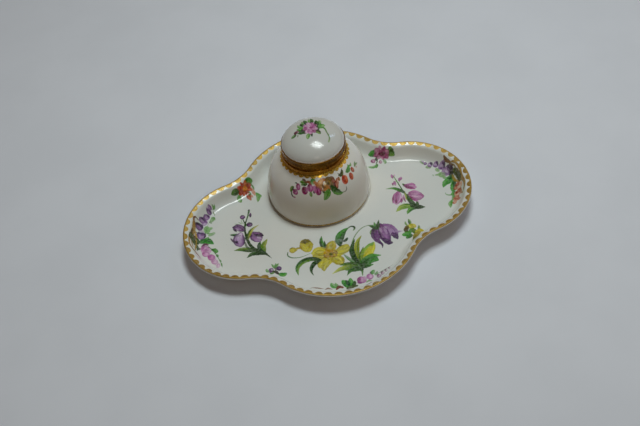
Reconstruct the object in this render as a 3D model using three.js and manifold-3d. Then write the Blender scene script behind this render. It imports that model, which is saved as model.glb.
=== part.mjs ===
// Porcelain inkstand: a quatrefoil pen tray with a hinged-lid inkwell standing on it.
// Units are millimetres, +Z up. The origin is the centre of the tray on the table plane;
// +X runs along the tray's long side and +Y runs from the front to the back of the stand.
import * as THREE from 'three';
import { mergeVertices } from 'three/addons/utils/BufferGeometryUtils.js';
import Module from 'manifold-3d';

const wasm = await Module();
wasm.setup();

// ---------------------------------------------------------------- driving dimensions
// Tray outline: two end lobes, a front and a back lobe, joined by concave fillets.
const TRAY_LENGTH = 190.0;     // over the end lobes
const END_LOBE_R = 40.9;       // radius of the left and right lobes
const SIDE_LOBE_R = 54.3;      // radius of the front and back lobes
const SIDE_LOBE_Y = 16.9;      // centre of the front / back lobe from the middle
const FILLET_R = 31.5;         // concave fillet between neighbouring lobes
const END_LOBE_X = TRAY_LENGTH / 2 - END_LOBE_R;
const OUTLINE_STEPS = 84;     // facets round the tray

// Tray section
const RIM_Z = 14.0;            // crest of the rim above the table
const FLOOR_Z = 5.0;           // top of the tray floor
const UNDER_Z = 2.1;           // underside of the floor, inside the foot ring
const FOOT_OUT = 12.5;         // inset of the foot ring's outer edge from the outline
const FOOT_IN = 15.9;          // inset of the foot ring's inner edge

// The well stands in a shallow seat behind the middle of the tray.
const WELL_Y = 25.0;
const SEAT_R = 34.3;
const SEAT_Z = 4.5;
const WELL_FOOT_R = 33.3;

// Neck, collar and lid levels (heights above the table)
const NECK_R = 19.4;           // outside of the porcelain neck
const NECK_BORE_R = 15.5;
const NECK_TOP_Z = 42.0;
const COLLAR_R = 20.9;
const COLLAR_Z0 = 40.45;
const COLLAR_TOP_Z = 43.8;
const COLLAR_BORE_R = 17.7;
const BEZEL_R = 20.6;
const BEZEL_Z0 = 44.1;
const BEZEL_TOP_Z = 49.7;
const LID_R = 20.0;
const LID_EDGE_Z = 49.5;
const LID_TOP_Z = 58.5;

// Ink liner
const LINER_FLANGE_R = 17.25;
const LINER_R = 15.0;
const LINER_BOTTOM_Z = 14.0;

// Lid hinge, across the back of the neck
const HINGE_Y = WELL_Y + 22.35;
const HINGE_Z = 44.0;
const KNUCKLE_R = 1.35;
const KNUCKLE_BORE_R = 0.58;
const PIN_R = 0.5;
const HINGE_HALF = 6.0;        // half the width over the knuckles
const LID_KNUCKLE_HALF = 1.95; // half the width of the middle knuckle
const SIDE_GAP = 0.2;

// ---------------------------------------------------------------- helpers
const material = (color, roughness, metalness) =>
  new THREE.MeshStandardMaterial({ color, roughness, metalness });

const porcelain = () => material(0xe9e8e2, 0.12, 0.0);
const brass = () => material(0xa9772a, 0.28, 1.0);

function piece(name, geometry, mat) {
  const mesh = new THREE.Mesh(geometry, mat);
  mesh.name = name;
  return mesh;
}

// A closed ring or solid of revolution about Z from [radius, height] pairs.
function turned(points, segments = 48) {
  const g = new THREE.LatheGeometry(points.map(([r, z]) => new THREE.Vector2(r, z)), segments);
  g.rotateX(Math.PI / 2);
  return g;
}

function toSolid(geometry) {
  let g = geometry.clone();
  g.deleteAttribute('normal');
  g.deleteAttribute('uv');
  g = mergeVertices(g, 1e-4);
  const index = Array.from(g.index.array);
  const tri = [];
  for (let i = 0; i < index.length; i += 3) {
    const [a, b, c] = [index[i], index[i + 1], index[i + 2]];
    if (a !== b && b !== c && c !== a) tri.push(a, b, c);
  }
  let solid = new wasm.Manifold(new wasm.Mesh({
    numProp: 3,
    vertProperties: new Float32Array(g.attributes.position.array),
    triVerts: new Uint32Array(tri),
  }));
  if (solid.volume() < 0) {
    for (let i = 0; i < tri.length; i += 3) [tri[i + 1], tri[i + 2]] = [tri[i + 2], tri[i + 1]];
    solid = new wasm.Manifold(new wasm.Mesh({
      numProp: 3,
      vertProperties: new Float32Array(g.attributes.position.array),
      triVerts: new Uint32Array(tri),
    }));
  }
  return solid;
}

function fromSolid(solid) {
  const m = solid.getMesh();
  const g = new THREE.BufferGeometry();
  const n = m.vertProperties.length / m.numProp;
  const pos = new Float32Array(n * 3);
  for (let i = 0; i < n; i++) {
    for (let k = 0; k < 3; k++) pos[i * 3 + k] = m.vertProperties[i * m.numProp + k];
  }
  g.setAttribute('position', new THREE.BufferAttribute(pos, 3));
  g.setIndex(new THREE.BufferAttribute(new Uint32Array(m.triVerts), 1));
  g.computeVertexNormals();
  return g;
}

// ---------------------------------------------------------------- tray outline
// Every sample keeps the centre, radius and sense of its arc, so the outline can be
// moved inwards by any distance and stays a true parallel curve.
function outlineSamples(count) {
  const A = new THREE.Vector2(END_LOBE_X, 0);
  const B = new THREE.Vector2(0, SIDE_LOBE_Y);
  const rA = END_LOBE_R + FILLET_R;
  const rB = SIDE_LOBE_R + FILLET_R;
  const d = A.distanceTo(B);
  const along = (rA * rA - rB * rB + d * d) / (2 * d);
  const h = Math.sqrt(rA * rA - along * along);
  const u = B.clone().sub(A).divideScalar(d);
  const F = A.clone().addScaledVector(u, along).add(new THREE.Vector2(u.y, -u.x).multiplyScalar(h));
  const thA = Math.atan2(F.y - A.y, F.x - A.x);
  const thB = Math.atan2(F.y - B.y, F.x - B.x);
  const fa = Math.atan2(A.y - F.y, A.x - F.x);
  const fb = Math.atan2(B.y - F.y, B.x - F.x);
  const sweep = (from, to) => { let s = to - from; while (s > 0) s -= 2 * Math.PI; return s; };
  const fs = sweep(fa, fb);                       // clockwise through the fillet
  const arcs = [];
  const add = (c, r, a0, s, sign) => arcs.push({ c, r, a0, s, sign, len: Math.abs(s) * r });
  add(A, END_LOBE_R, -thA, 2 * thA, 1);
  add(F, FILLET_R, fa, fs, -1);
  add(B, SIDE_LOBE_R, thB, Math.PI - 2 * thB, 1);
  add(new THREE.Vector2(-F.x, F.y), FILLET_R, Math.PI - fb, fs, -1);
  add(new THREE.Vector2(-A.x, 0), END_LOBE_R, Math.PI - thA, 2 * thA, 1);
  add(new THREE.Vector2(-F.x, -F.y), FILLET_R, Math.PI + fa, fs, -1);
  add(new THREE.Vector2(0, -B.y), SIDE_LOBE_R, Math.PI + thB, Math.PI - 2 * thB, 1);
  add(new THREE.Vector2(F.x, -F.y), FILLET_R, -fb, fs, -1);
  const total = arcs.reduce((t, a) => t + a.len, 0);
  const samples = [];
  for (const a of arcs) {
    const n = 2 * Math.max(2, Math.round((count * a.len) / total / 2));
    for (let i = 0; i < n; i++) samples.push({ ...a, angle: a.a0 + (a.s * i) / n });
  }
  return samples;
}
const OUTLINE = outlineSamples(OUTLINE_STEPS);

function outlinePoint(s, inset) {
  const r = s.r - s.sign * inset;
  return new THREE.Vector2(s.c.x + r * Math.cos(s.angle), s.c.y + r * Math.sin(s.angle));
}

// ---------------------------------------------------------------- tray
// The section runs from the floor, up the cove and the wall, over the everted lip with
// its rounded edge, down the outside and under to the foot ring, as [inset, height] pairs.
const TRAY_SECTION = [
  [11.2, FLOOR_Z], [9.7, FLOOR_Z + 0.25], [8.5, FLOOR_Z + 0.85], [7.3, FLOOR_Z + 2.05],
  [6.1, FLOOR_Z + 3.9], [5.0, FLOOR_Z + 6.0], [4.2, FLOOR_Z + 7.4], [3.5, RIM_Z - 0.9],
  [2.3, RIM_Z - 0.45], [0.9, RIM_Z], [0.3, RIM_Z - 0.2], [0.0, RIM_Z - 0.8],
  [0.15, RIM_Z - 1.5], [0.9, RIM_Z - 2.1], [2.1, RIM_Z - 2.9], [3.2, RIM_Z - 4.2],
  [4.3, RIM_Z - 6.2], [5.5, RIM_Z - 8.2], [7.0, UNDER_Z + 1.9],
  [8.9, UNDER_Z + 0.75], [11.0, UNDER_Z + 0.15], [FOOT_OUT, UNDER_Z], [FOOT_OUT + 0.1, 0.25],
  [FOOT_OUT + 0.4, 0.0], [FOOT_IN, 0.0], [FOOT_IN + 0.4, UNDER_Z],
];

function trayGeometry() {
  const n = OUTLINE.length;
  const position = [];
  const rings = TRAY_SECTION.map(([inset, z]) => OUTLINE.map((s) => {
    const p = outlinePoint(s, inset);
    position.push(p.x, p.y, z);
    return position.length / 3 - 1;
  }));
  const tri = [];
  for (let k = 0; k + 1 < rings.length; k++) {
    for (let i = 0; i < n; i++) {
      const j = (i + 1) % n;
      const [a, b, c, e] = [rings[k][i], rings[k][j], rings[k + 1][i], rings[k + 1][j]];
      tri.push(a, c, b, b, c, e);
    }
  }
  // The flat floor and the flat underside close the two ends of the section.
  const cap = (ring, up) => {
    const contour = ring.map((v) => new THREE.Vector2(position[v * 3], position[v * 3 + 1]));
    for (const [a, b, c] of THREE.ShapeUtils.triangulateShape(contour, [])) {
      if (up) tri.push(ring[a], ring[b], ring[c]);
      else tri.push(ring[a], ring[c], ring[b]);
    }
  };
  cap(rings[0], true);
  cap(rings[rings.length - 1], false);
  const g = new THREE.BufferGeometry();
  g.setAttribute('position', new THREE.Float32BufferAttribute(position, 3));
  g.setIndex(tri);
  // The seat for the well is sunk into the floor.
  const seat = turned([[0, SEAT_Z], [SEAT_R - 0.3, SEAT_Z], [SEAT_R, FLOOR_Z], [SEAT_R, FLOOR_Z + 1], [0, FLOOR_Z + 1]], 40);
  seat.translate(0, WELL_Y, 0);
  return fromSolid(toSolid(g).subtract(toSolid(seat)));
}

// ---------------------------------------------------------------- well
const WELL_OUTER = new THREE.SplineCurve([
  [33.35, 5.4], [33.75, 7.6], [33.75, 11.5], [33.1, 16.5], [32.05, 22.0], [30.5, 27.2],
  [28.3, 31.8], [25.6, 35.5], [22.9, 38.3], [21.2, 40.0],
].map(([r, z]) => new THREE.Vector2(r, z)));

function wellGeometry() {
  const outer = WELL_OUTER.getPoints(10).map((p) => [p.x, p.y]);
  const inner = [[NECK_BORE_R, 37.6], [20.2, 36.4], [24.0, 33.0], [27.6, 27.4], [29.6, 20.4], [30.3, 12.8], [28.6, 9.2], [0, 8.4]];
  return turned([
    [0, 5.6], [29.2, 5.6], [29.8, SEAT_Z], [WELL_FOOT_R - 0.3, SEAT_Z], [WELL_FOOT_R, 4.8],
    ...outer,
    [NECK_R, 40.3], [NECK_R, NECK_TOP_Z - 0.3], [NECK_R - 0.3, NECK_TOP_Z],
    [NECK_BORE_R + 0.3, NECK_TOP_Z], [NECK_BORE_R, NECK_TOP_Z - 0.3],
    ...inner,
  ], 40);
}

// ---------------------------------------------------------------- liner
function linerGeometry() {
  return turned([
    [0, LINER_BOTTOM_Z], [9.6, LINER_BOTTOM_Z + 0.25], [12.8, LINER_BOTTOM_Z + 1.8], [14.5, LINER_BOTTOM_Z + 4.6],
    [LINER_R, LINER_BOTTOM_Z + 8.5], [LINER_R, NECK_TOP_Z + 0.05], [LINER_FLANGE_R - 0.35, NECK_TOP_Z + 0.05],
    [LINER_FLANGE_R, NECK_TOP_Z + 0.4], [LINER_FLANGE_R, NECK_TOP_Z + 1.3], [LINER_FLANGE_R - 0.5, COLLAR_TOP_Z - 0.1],
    [14.2, COLLAR_TOP_Z - 0.1], [13.2, COLLAR_TOP_Z - 0.7], [12.8, COLLAR_TOP_Z - 2.2],
    [12.8, LINER_BOTTOM_Z + 8.8], [12.2, LINER_BOTTOM_Z + 5.6], [10.8, LINER_BOTTOM_Z + 3.6],
    [8.4, LINER_BOTTOM_Z + 2.5], [0, LINER_BOTTOM_Z + 2.2],
  ], 32);
}

// ---------------------------------------------------------------- brass mounts
function collarGeometry() {
  return turned([
    [COLLAR_R - 0.75, COLLAR_Z0], [COLLAR_R - 0.1, COLLAR_Z0], [COLLAR_R, COLLAR_Z0 + 0.3],
    [COLLAR_R - 0.15, 42.9], [COLLAR_R - 0.6, 43.3], [19.8, 43.45], [19.7, COLLAR_TOP_Z],
    [COLLAR_BORE_R + 0.2, COLLAR_TOP_Z], [COLLAR_BORE_R, COLLAR_TOP_Z - 0.2], [COLLAR_BORE_R, 43.0],
    [COLLAR_R - 0.75, 43.0], [COLLAR_R - 0.75, COLLAR_Z0],
  ], 40);
}

function collarCementGeometry() {
  return turned([
    [NECK_R + 0.06, 40.7], [20.08, 40.7], [20.08, 42.94], [COLLAR_BORE_R + 0.1, 42.94],
    [COLLAR_BORE_R + 0.1, NECK_TOP_Z + 0.06], [NECK_R + 0.06, NECK_TOP_Z + 0.06], [NECK_R + 0.06, 40.7],
  ], 40);
}

function bezelGeometry() {
  return turned([
    [17.6, BEZEL_Z0 + 0.2], [17.8, BEZEL_Z0], [19.7, BEZEL_Z0], [19.8, 44.6], [BEZEL_R - 0.3, 45.0], [BEZEL_R, 45.4],
    [BEZEL_R, 48.9], [BEZEL_R - 0.1, BEZEL_TOP_Z - 0.15], [BEZEL_R - 0.25, BEZEL_TOP_Z],
    [LID_R + 0.1, BEZEL_TOP_Z], [LID_R + 0.08, 49.2], [LID_R + 0.08, 45.1], [17.6, 45.1], [17.6, BEZEL_Z0 + 0.2],
  ], 40);
}

function lidCementGeometry() {
  return turned([
    [19.35, 45.2], [LID_R, 45.2], [LID_R, 48.9], [19.35, 48.9], [19.35, 45.2],
  ], 40);
}

// ---------------------------------------------------------------- lid
function lidGeometry() {
  const rise = LID_TOP_Z - LID_EDGE_Z;
  const outer = [];
  for (let i = 0; i <= 8; i++) {
    const t = (i / 8) * (Math.PI / 2);
    const u = Math.sin(t) ** (2 / 1.86);
    outer.push([i === 8 ? 0 : LID_R * Math.sqrt(Math.max(0, 1 - u ** 1.86)), LID_EDGE_Z + rise * u]);
  }
  const inner = [];
  for (let i = 0; i <= 5; i++) {
    const t = (i / 5) * (Math.PI / 2);
    inner.push([i === 5 ? 0 : 17.6 * Math.cos(t), 49.6 + 6.5 * Math.sin(t)]);
  }
  inner.reverse();
  return turned([
    ...inner, [17.6, 45.35], [17.8, 45.2], [19.1, 45.2], [19.28, 45.4], [19.28, 48.95], [LID_R - 0.1, 48.95], ...outer,
  ], 40);
}

// ---------------------------------------------------------------- hinge
function tubeX(x0, x1, outer, inner) {
  const g = new THREE.LatheGeometry([
    [inner, x0], [outer, x0], [outer, x1], [inner, x1], [inner, x0],
  ].map(([r, x]) => new THREE.Vector2(r, x)), 24);
  g.rotateZ(-Math.PI / 2);
  g.translate(0, HINGE_Y, HINGE_Z);
  return toSolid(g);
}

function barX(x0, x1, y0, y1, z0, z1) {
  const g = new THREE.BoxGeometry(x1 - x0, y1 - y0, z1 - z0);
  g.translate((x0 + x1) / 2, (y0 + y1) / 2, (z0 + z1) / 2);
  return toSolid(g);
}

function cylinderZ(r, z0, z1) {
  const g = turned([[0, z0], [r, z0], [r, z1], [0, z1]], 40);
  g.translate(0, WELL_Y, 0);
  return toSolid(g);
}

function boreX(r) {
  const g = new THREE.CylinderGeometry(r, r, 4 * HINGE_HALF, 24);
  g.rotateZ(-Math.PI / 2);
  g.translate(0, HINGE_Y, HINGE_Z);
  return toSolid(g);
}

// The collar's leaf carries the two outer knuckles.
function collarKnuckleGeometry() {
  let s = barX(-HINGE_HALF, HINGE_HALF, WELL_Y + 19.4, HINGE_Y + 0.35, 41.0, 42.95);
  for (const side of [-1, 1]) {
    const inner = LID_KNUCKLE_HALF + SIDE_GAP;
    const x0 = side < 0 ? -HINGE_HALF : inner;
    const x1 = side < 0 ? -inner : HINGE_HALF;
    s = s.add(tubeX(x0, x1, KNUCKLE_R, 0.2));
  }
  // Room for the middle knuckle to turn, the round of the collar and the pin's bore.
  s = s.subtract(barX(-LID_KNUCKLE_HALF - SIDE_GAP, LID_KNUCKLE_HALF + SIDE_GAP, HINGE_Y - 1.75, HINGE_Y + 2, 42.2, 47));
  s = s.subtract(cylinderZ(COLLAR_R + 0.15, 30, 60));
  s = s.subtract(boreX(KNUCKLE_BORE_R));
  return fromSolid(s);
}

// The lid's leaf carries the middle knuckle.
function lidKnuckleGeometry() {
  let s = barX(-LID_KNUCKLE_HALF, LID_KNUCKLE_HALF, WELL_Y + 19.6, HINGE_Y - 0.15, 44.5, 48.4);
  s = s.add(tubeX(-LID_KNUCKLE_HALF, LID_KNUCKLE_HALF, KNUCKLE_R, 0.2));
  s = s.subtract(cylinderZ(BEZEL_R + 0.15, 30, 60));
  s = s.subtract(boreX(KNUCKLE_BORE_R));
  return fromSolid(s);
}

function pinGeometry() {
  const e = HINGE_HALF + 0.12;
  const g = new THREE.LatheGeometry([
    [0, -e - 0.42], [0.55, -e - 0.36], [0.85, -e - 0.12], [0.85, -e], [PIN_R, -e],
    [PIN_R, e], [0.85, e], [0.85, e + 0.12], [0.55, e + 0.36], [0, e + 0.42],
  ].map(([r, x]) => new THREE.Vector2(r, x)), 24);
  g.rotateZ(-Math.PI / 2);
  g.translate(0, HINGE_Y, HINGE_Z);
  return g;
}

// ---------------------------------------------------------------- assembly
const group = new THREE.Group();
group.add(piece('tray', trayGeometry(), porcelain()));

const well = new THREE.Group();
well.position.set(0, WELL_Y, 0);
well.add(piece('well_body', wellGeometry(), porcelain()));
well.add(piece('ink_liner', linerGeometry(), porcelain()));
well.add(piece('collar_ring', collarGeometry(), brass()));
well.add(piece('collar_cement', collarCementGeometry(), material(0xcfc7b4, 0.9, 0.0)));
well.add(piece('lid_bezel', bezelGeometry(), brass()));
well.add(piece('lid_cement', lidCementGeometry(), material(0xcfc7b4, 0.9, 0.0)));
well.add(piece('lid_dome', lidGeometry(), porcelain()));
group.add(well);

group.add(piece('collar_hinge_leaf', collarKnuckleGeometry(), brass()));
group.add(piece('lid_hinge_leaf', lidKnuckleGeometry(), brass()));
group.add(piece('hinge_pin', pinGeometry(), material(0x8d6526, 0.3, 1.0)));

export default group;
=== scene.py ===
# Porcelain inkstand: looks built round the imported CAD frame.
# Lengths are written in millimetres and turned into metres when a mesh is made.
import bpy
import math
import numpy as np
from mathutils import Matrix, Vector
from mathutils.geometry import delaunay_2d_cdt


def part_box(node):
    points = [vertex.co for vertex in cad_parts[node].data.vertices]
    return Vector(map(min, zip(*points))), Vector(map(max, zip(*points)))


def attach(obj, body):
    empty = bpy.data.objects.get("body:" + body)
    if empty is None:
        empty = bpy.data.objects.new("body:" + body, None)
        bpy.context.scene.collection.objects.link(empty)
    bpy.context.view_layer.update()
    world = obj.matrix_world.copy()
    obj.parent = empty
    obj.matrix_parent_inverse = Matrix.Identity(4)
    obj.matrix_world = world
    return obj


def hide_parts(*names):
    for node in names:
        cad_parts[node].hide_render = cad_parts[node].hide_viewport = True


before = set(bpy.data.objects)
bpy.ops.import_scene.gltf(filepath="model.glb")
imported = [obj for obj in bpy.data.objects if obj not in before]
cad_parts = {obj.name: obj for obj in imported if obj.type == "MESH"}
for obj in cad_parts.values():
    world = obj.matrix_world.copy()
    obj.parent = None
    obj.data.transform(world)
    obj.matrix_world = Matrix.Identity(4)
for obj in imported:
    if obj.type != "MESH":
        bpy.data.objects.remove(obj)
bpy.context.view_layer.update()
MM = 0.001


def box_mm(node):
    lo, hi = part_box(node)
    return np.array(lo) * 1000.0, np.array(hi) * 1000.0


# ------------------------------------------------------------------ sizes from the frame
TRAY_LO, TRAY_HI = box_mm("tray")
WELL_LO, WELL_HI = box_mm("well_body")
LID_LO, LID_HI = box_mm("lid_dome")
BEZ_LO, BEZ_HI = box_mm("lid_bezel")
COL_LO, COL_HI = box_mm("collar_ring")
LIN_LO, LIN_HI = box_mm("ink_liner")
PIN_LO, PIN_HI = box_mm("hinge_pin")
K = (TRAY_HI[0] - TRAY_LO[0]) / 190.0            # size of this frame against the drawing below
WX = (WELL_LO[0] + WELL_HI[0]) / 2               # the well's axis
WY = (WELL_LO[1] + WELL_HI[1]) / 2
RIM_Z = TRAY_HI[2]
FLOOR_Z = RIM_Z - 9.0 * K
UNDER_Z = 2.1 * K
HINGE_Y = (PIN_LO[1] + PIN_HI[1]) / 2
HINGE_Z = (PIN_LO[2] + PIN_HI[2]) / 2

# ------------------------------------------------------------------ small tools
def smooth(a, b, x):
    t = np.clip((x - a) / (b - a), 0.0, 1.0)
    return t * t * (3 - 2 * t)


def spline(points, n):
    """Centripetal-ish Catmull-Rom through points, n samples per span."""
    p = np.asarray(points, float)
    if len(p) == 2:
        t = np.linspace(0, 1, n + 1)[:, None]
        return p[0] * (1 - t) + p[1] * t
    q = np.vstack([2 * p[0] - p[1], p, 2 * p[-1] - p[-2]])
    out = []
    for i in range(1, len(q) - 2):
        t = np.linspace(0, 1, n, endpoint=False)[:, None]
        a, b, c, d = q[i - 1], q[i], q[i + 1], q[i + 2]
        out.append(0.5 * ((2 * b) + (c - a) * t + (2 * a - 5 * b + 4 * c - d) * t * t + (3 * b - a - 3 * c + d) * t ** 3))
    out.append(p[-1:])
    return np.vstack(out)


def hash2(i, j, seed):
    h = (i.astype(np.int64) * 374761393 + j.astype(np.int64) * 668265263 + seed * 974711) & 0x7FFFFFFF
    h = ((h ^ (h >> 13)) * 1274126177) & 0x7FFFFFFF
    return ((h ^ (h >> 16)) & 0xFFFF) / 65535.0


def noise2(x, y, seed=0):
    """Value noise, 0 to 1, one lump per unit."""
    xi, yi = np.floor(x), np.floor(y)
    fx, fy = x - xi, y - yi
    fx, fy = fx * fx * (3 - 2 * fx), fy * fy * (3 - 2 * fy)
    a, b = hash2(xi, yi, seed), hash2(xi + 1, yi, seed)
    c, d = hash2(xi, yi + 1, seed), hash2(xi + 1, yi + 1, seed)
    return (a * (1 - fx) + b * fx) * (1 - fy) + (c * (1 - fx) + d * fx) * fy


def to_linear(c):
    c = np.clip(np.asarray(c, float), 0, 1)
    return np.where(c <= 0.04045, c / 12.92, ((c + 0.055) / 1.055) ** 2.4)


def make_mesh(name, V, tris=None, quads=None, ngons=()):
    """A smooth-shaded mesh object from arrays, V in millimetres."""
    me = bpy.data.meshes.new(name)
    parts, sizes = [], []
    if tris is not None and len(tris):
        t = np.asarray(tris, np.int32); parts.append(t.ravel()); sizes.append(np.full(len(t), 3))
    if quads is not None and len(quads):
        q = np.asarray(quads, np.int32); parts.append(q.ravel()); sizes.append(np.full(len(q), 4))
    for g in ngons:
        parts.append(np.asarray(g, np.int32)); sizes.append(np.array([len(g)]))
    loops = np.concatenate(parts).astype(np.int32)
    sizes = np.concatenate(sizes)
    starts = np.r_[0, np.cumsum(sizes)[:-1]].astype(np.int32)
    me.vertices.add(len(V))
    me.vertices.foreach_set("co", (np.asarray(V, float) * MM).astype(np.float32).ravel())
    me.loops.add(len(loops))
    me.loops.foreach_set("vertex_index", loops)
    me.polygons.add(len(starts))
    me.polygons.foreach_set("loop_start", starts)
    me.polygons.foreach_set("use_smooth", np.ones(len(starts), bool))
    me.update(calc_edges=True)
    me.validate()
    ob = bpy.data.objects.new(name, me)
    bpy.context.scene.collection.objects.link(ob)
    return ob


DEPTH = 0.08


def set_paint(ob, canvas):
    me = ob.data
    n = len(me.vertices)
    rgba = np.zeros((n, 4), np.float32)
    gold = np.zeros(n, np.float32)
    m = min(n, len(canvas.A))
    # Colours are kept multiplied by their cover, so edges stay clean between vertices.
    a = canvas.A[:m]
    rgb = canvas.C[:m] / np.maximum(a, 1e-6)[:, None]
    rgb = to_linear(rgb)
    rgb = np.maximum(rgb - DEPTH * (1 - np.exp(-rgb / DEPTH)), 0.5 * rgb)          # fired enamels are deeper than the bare colour
    green = np.clip((rgb[:, 1] - np.maximum(rgb[:, 0], rgb[:, 2])) / np.maximum(rgb[:, 1], 1e-6), 0, 1) * (1 - smooth(0.12, 0.4, rgb[:, 1]))
    rgb[:, 1] *= 1 + 0.8 * green; rgb[:, 0] *= 1 + 0.25 * green; rgb[:, 2] *= 1 - 0.25 * green          # copper greens stay clear where they lie thick
    rgba[:m, :3] = rgb * a[:, None]
    rgba[:m, 3] = a
    gold[:m] = canvas.G[:m]
    me.attributes.new("Enamel", "FLOAT_COLOR", "POINT").data.foreach_set("color", rgba.ravel())
    me.attributes.new("Gilt", "FLOAT", "POINT").data.foreach_set("value", gold)


# ------------------------------------------------------------------ china painting
class Canvas:
    """Enamel colour, its cover and the gilding at points P, drawn stroke by stroke."""

    def __init__(self, P):
        self.P = np.asarray(P, float)
        n = len(self.P)
        self.C = np.zeros((n, 3)); self.A = np.zeros(n); self.G = np.zeros(n)
        self.seed = 1

    def near(self, lo, hi):
        P = self.P
        return np.nonzero((P[:, 0] > lo[0]) & (P[:, 0] < hi[0]) & (P[:, 1] > lo[1]) & (P[:, 1] < hi[1]))[0]

    def over(self, idx, cover, rgb):
        c = np.clip(cover, 0, 1)
        self.C[idx] = rgb * c[:, None] + self.C[idx] * (1 - c)[:, None]
        self.A[idx] = c + self.A[idx] * (1 - c)

    def gild(self, idx, cover):
        c = np.clip(cover, 0, 1)
        self.G[idx] = c + self.G[idx] * (1 - c)

    def stroke(self, pts, w, col, a=0.95, soft=0.2, streak=0.25, edge=None, edge_k=0.0, side=None,
               light=None, light_at=0.0, gild=False, wob=0.08, M=None):
        """One brush stroke or petal. pts are the centre line; w half-widths along it; col colours along it;
        side is a second set of colours for the right half; edge darkens the rim; light is a paler streak at
        cross position light_at; M maps the stroke's own plane to the canvas."""
        self.seed += 1
        pts = np.asarray(pts, float)
        scale = 1.0
        if M is not None:
            pts = M(pts); scale = M.scale
        w = np.atleast_1d(np.asarray(w, float)) * scale
        line = spline(pts, 6 if len(pts) > 2 else 8)
        arc = np.r_[0, np.cumsum(np.hypot(*np.diff(line, axis=0).T))]
        u_line = arc / max(arc[-1], 1e-9)
        ws = np.interp(u_line, np.linspace(0, 1, len(w)), w)
        pad = ws.max() + soft * 2 + 0.1
        idx = self.near(line.min(0) - pad, line.max(0) + pad)
        if not len(idx):
            return
        Q = self.P[idx]
        best = np.full(len(idx), 1e9); bu = np.zeros(len(idx)); bv = np.zeros(len(idx)); bw = np.full(len(idx), ws[0])
        for k in range(len(line) - 1):
            a0, b0 = line[k], line[k + 1]
            d = b0 - a0; L2 = d @ d
            if L2 < 1e-12:
                continue
            r = Q - a0
            t = np.clip((r @ d) / L2, 0, 1)
            off = r - t[:, None] * d
            dist = np.hypot(off[:, 0], off[:, 1])
            wk = ws[k] + (ws[k + 1] - ws[k]) * t
            score = dist - wk
            m = score < best
            sgn = np.sign(d[0] * r[:, 1] - d[1] * r[:, 0])
            best = np.where(m, score, best)
            bu = np.where(m, u_line[k] + (u_line[k + 1] - u_line[k]) * t, bu)
            bv = np.where(m, sgn * dist / np.maximum(wk, 0.05), bv)
            bw = np.where(m, wk, bw)
        s = self.seed
        # a hand-held brush: the edge wanders a little and hairs leave streaks
        wander = (noise2(Q[:, 0] * 1.3, Q[:, 1] * 1.3, s) - 0.5) * 2 * wob * np.minimum(bw, 1.5)
        cover = 1 - smooth(-soft * 0.6, soft * 0.6, best + wander)
        if not cover.any():
            return
        if gild:
            hair = noise2(bv * 5 + s, bu * 4, s + 3)
            self.gild(idx, cover * a * (1 - streak * hair))
            return
        col = np.atleast_2d(np.asarray(col, float)) / 255.0
        cu = np.linspace(0, 1, len(col))
        rgb = np.stack([np.interp(bu, cu, col[:, k]) for k in range(3)], 1)
        if side is not None:
            sd = np.atleast_2d(np.asarray(side, float)) / 255.0
            su = np.linspace(0, 1, len(sd))
            rs = np.stack([np.interp(bu, su, sd[:, k]) for k in range(3)], 1)
            f = smooth(-0.12, 0.12, -bv + (noise2(bu * 6, bv, s) - 0.5) * 0.2)[:, None]
            rgb = rgb * (1 - f) + rs * f
        if light is not None:
            f = (np.exp(-((bv - light_at) / 0.32) ** 2) * smooth(0.05, 0.35, bu) * smooth(1.0, 0.7, bu))[:, None]
            rgb = rgb * (1 - 0.75 * f) + np.asarray(light, float) / 255.0 * 0.75 * f
        if edge is not None:
            f = (smooth(0.45, 1.0, np.abs(bv)) * edge_k)[:, None]
            rgb = rgb * (1 - f) + np.asarray(edge, float) / 255.0 * f
        hair = noise2(bv * 4.5 + s * 7.1, bu * 1.6 + s, s + 11)
        rgb = np.clip(rgb * (1 + (hair - 0.5)[:, None] * streak * 0.8), 0, 1)
        body = 1 - streak * 0.5 * noise2(bv * 3.2 + s, bu * 2.2, s + 5)
        self.over(idx, cover * a * body, rgb)

    def dot(self, c, r, col, a=0.95, soft=0.2, edge=None, edge_k=0.0, M=None, squash=1.0, gild=False):
        c = np.asarray(c, float)
        h = r * (squash - 1) if squash > 1 else 0.0
        self.stroke([c - [h + 1e-3, 0], c + [h + 1e-3, 0]], [r, r], [col], a, soft, 0.15, edge, edge_k, M=M, gild=gild)


class Place:
    """Moves a motif: scale, mirror in x, turn (degrees), then shift."""

    def __init__(self, at=(0, 0), turn=0.0, scale=1.0, flip=False):
        self.at = np.asarray(at, float); self.t = math.radians(turn); self.scale = scale; self.flip = flip

    def __call__(self, p):
        p = np.array(p, float, ndmin=2).copy()
        if self.flip:
            p[:, 0] = -p[:, 0]
        c, s = math.cos(self.t), math.sin(self.t)
        q = np.c_[p[:, 0] * c - p[:, 1] * s, p[:, 0] * s + p[:, 1] * c] * self.scale
        return q + self.at


# enamel colours (as seen under neutral light)
DK_G = (44, 74, 36); MD_G = (78, 122, 60); LT_G = (128, 172, 100); YL_G = (172, 184, 62); BL_G = (62, 96, 66)
PALE_G = (158, 186, 140); OLIVE = (104, 110, 40)
DK_P = (84, 52, 92); MD_P = (134, 96, 142); LT_P = (186, 158, 196); XL_P = (212, 194, 216)
DK_K = (130, 62, 100); MD_K = (184, 116, 164); LT_K = (214, 166, 202); XL_K = (228, 200, 218)
YEL = (214, 202, 74); YEL_D = (190, 168, 44); YEL_L = (228, 218, 118); OCH = (178, 140, 36)
BRN = (112, 74, 34); BRN_L = (156, 116, 58); RED = (168, 62, 34); RED_L = (204, 116, 82); ORG = (214, 140, 50)
MAG = (140, 36, 86); MAG_L = (196, 120, 164)


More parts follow.
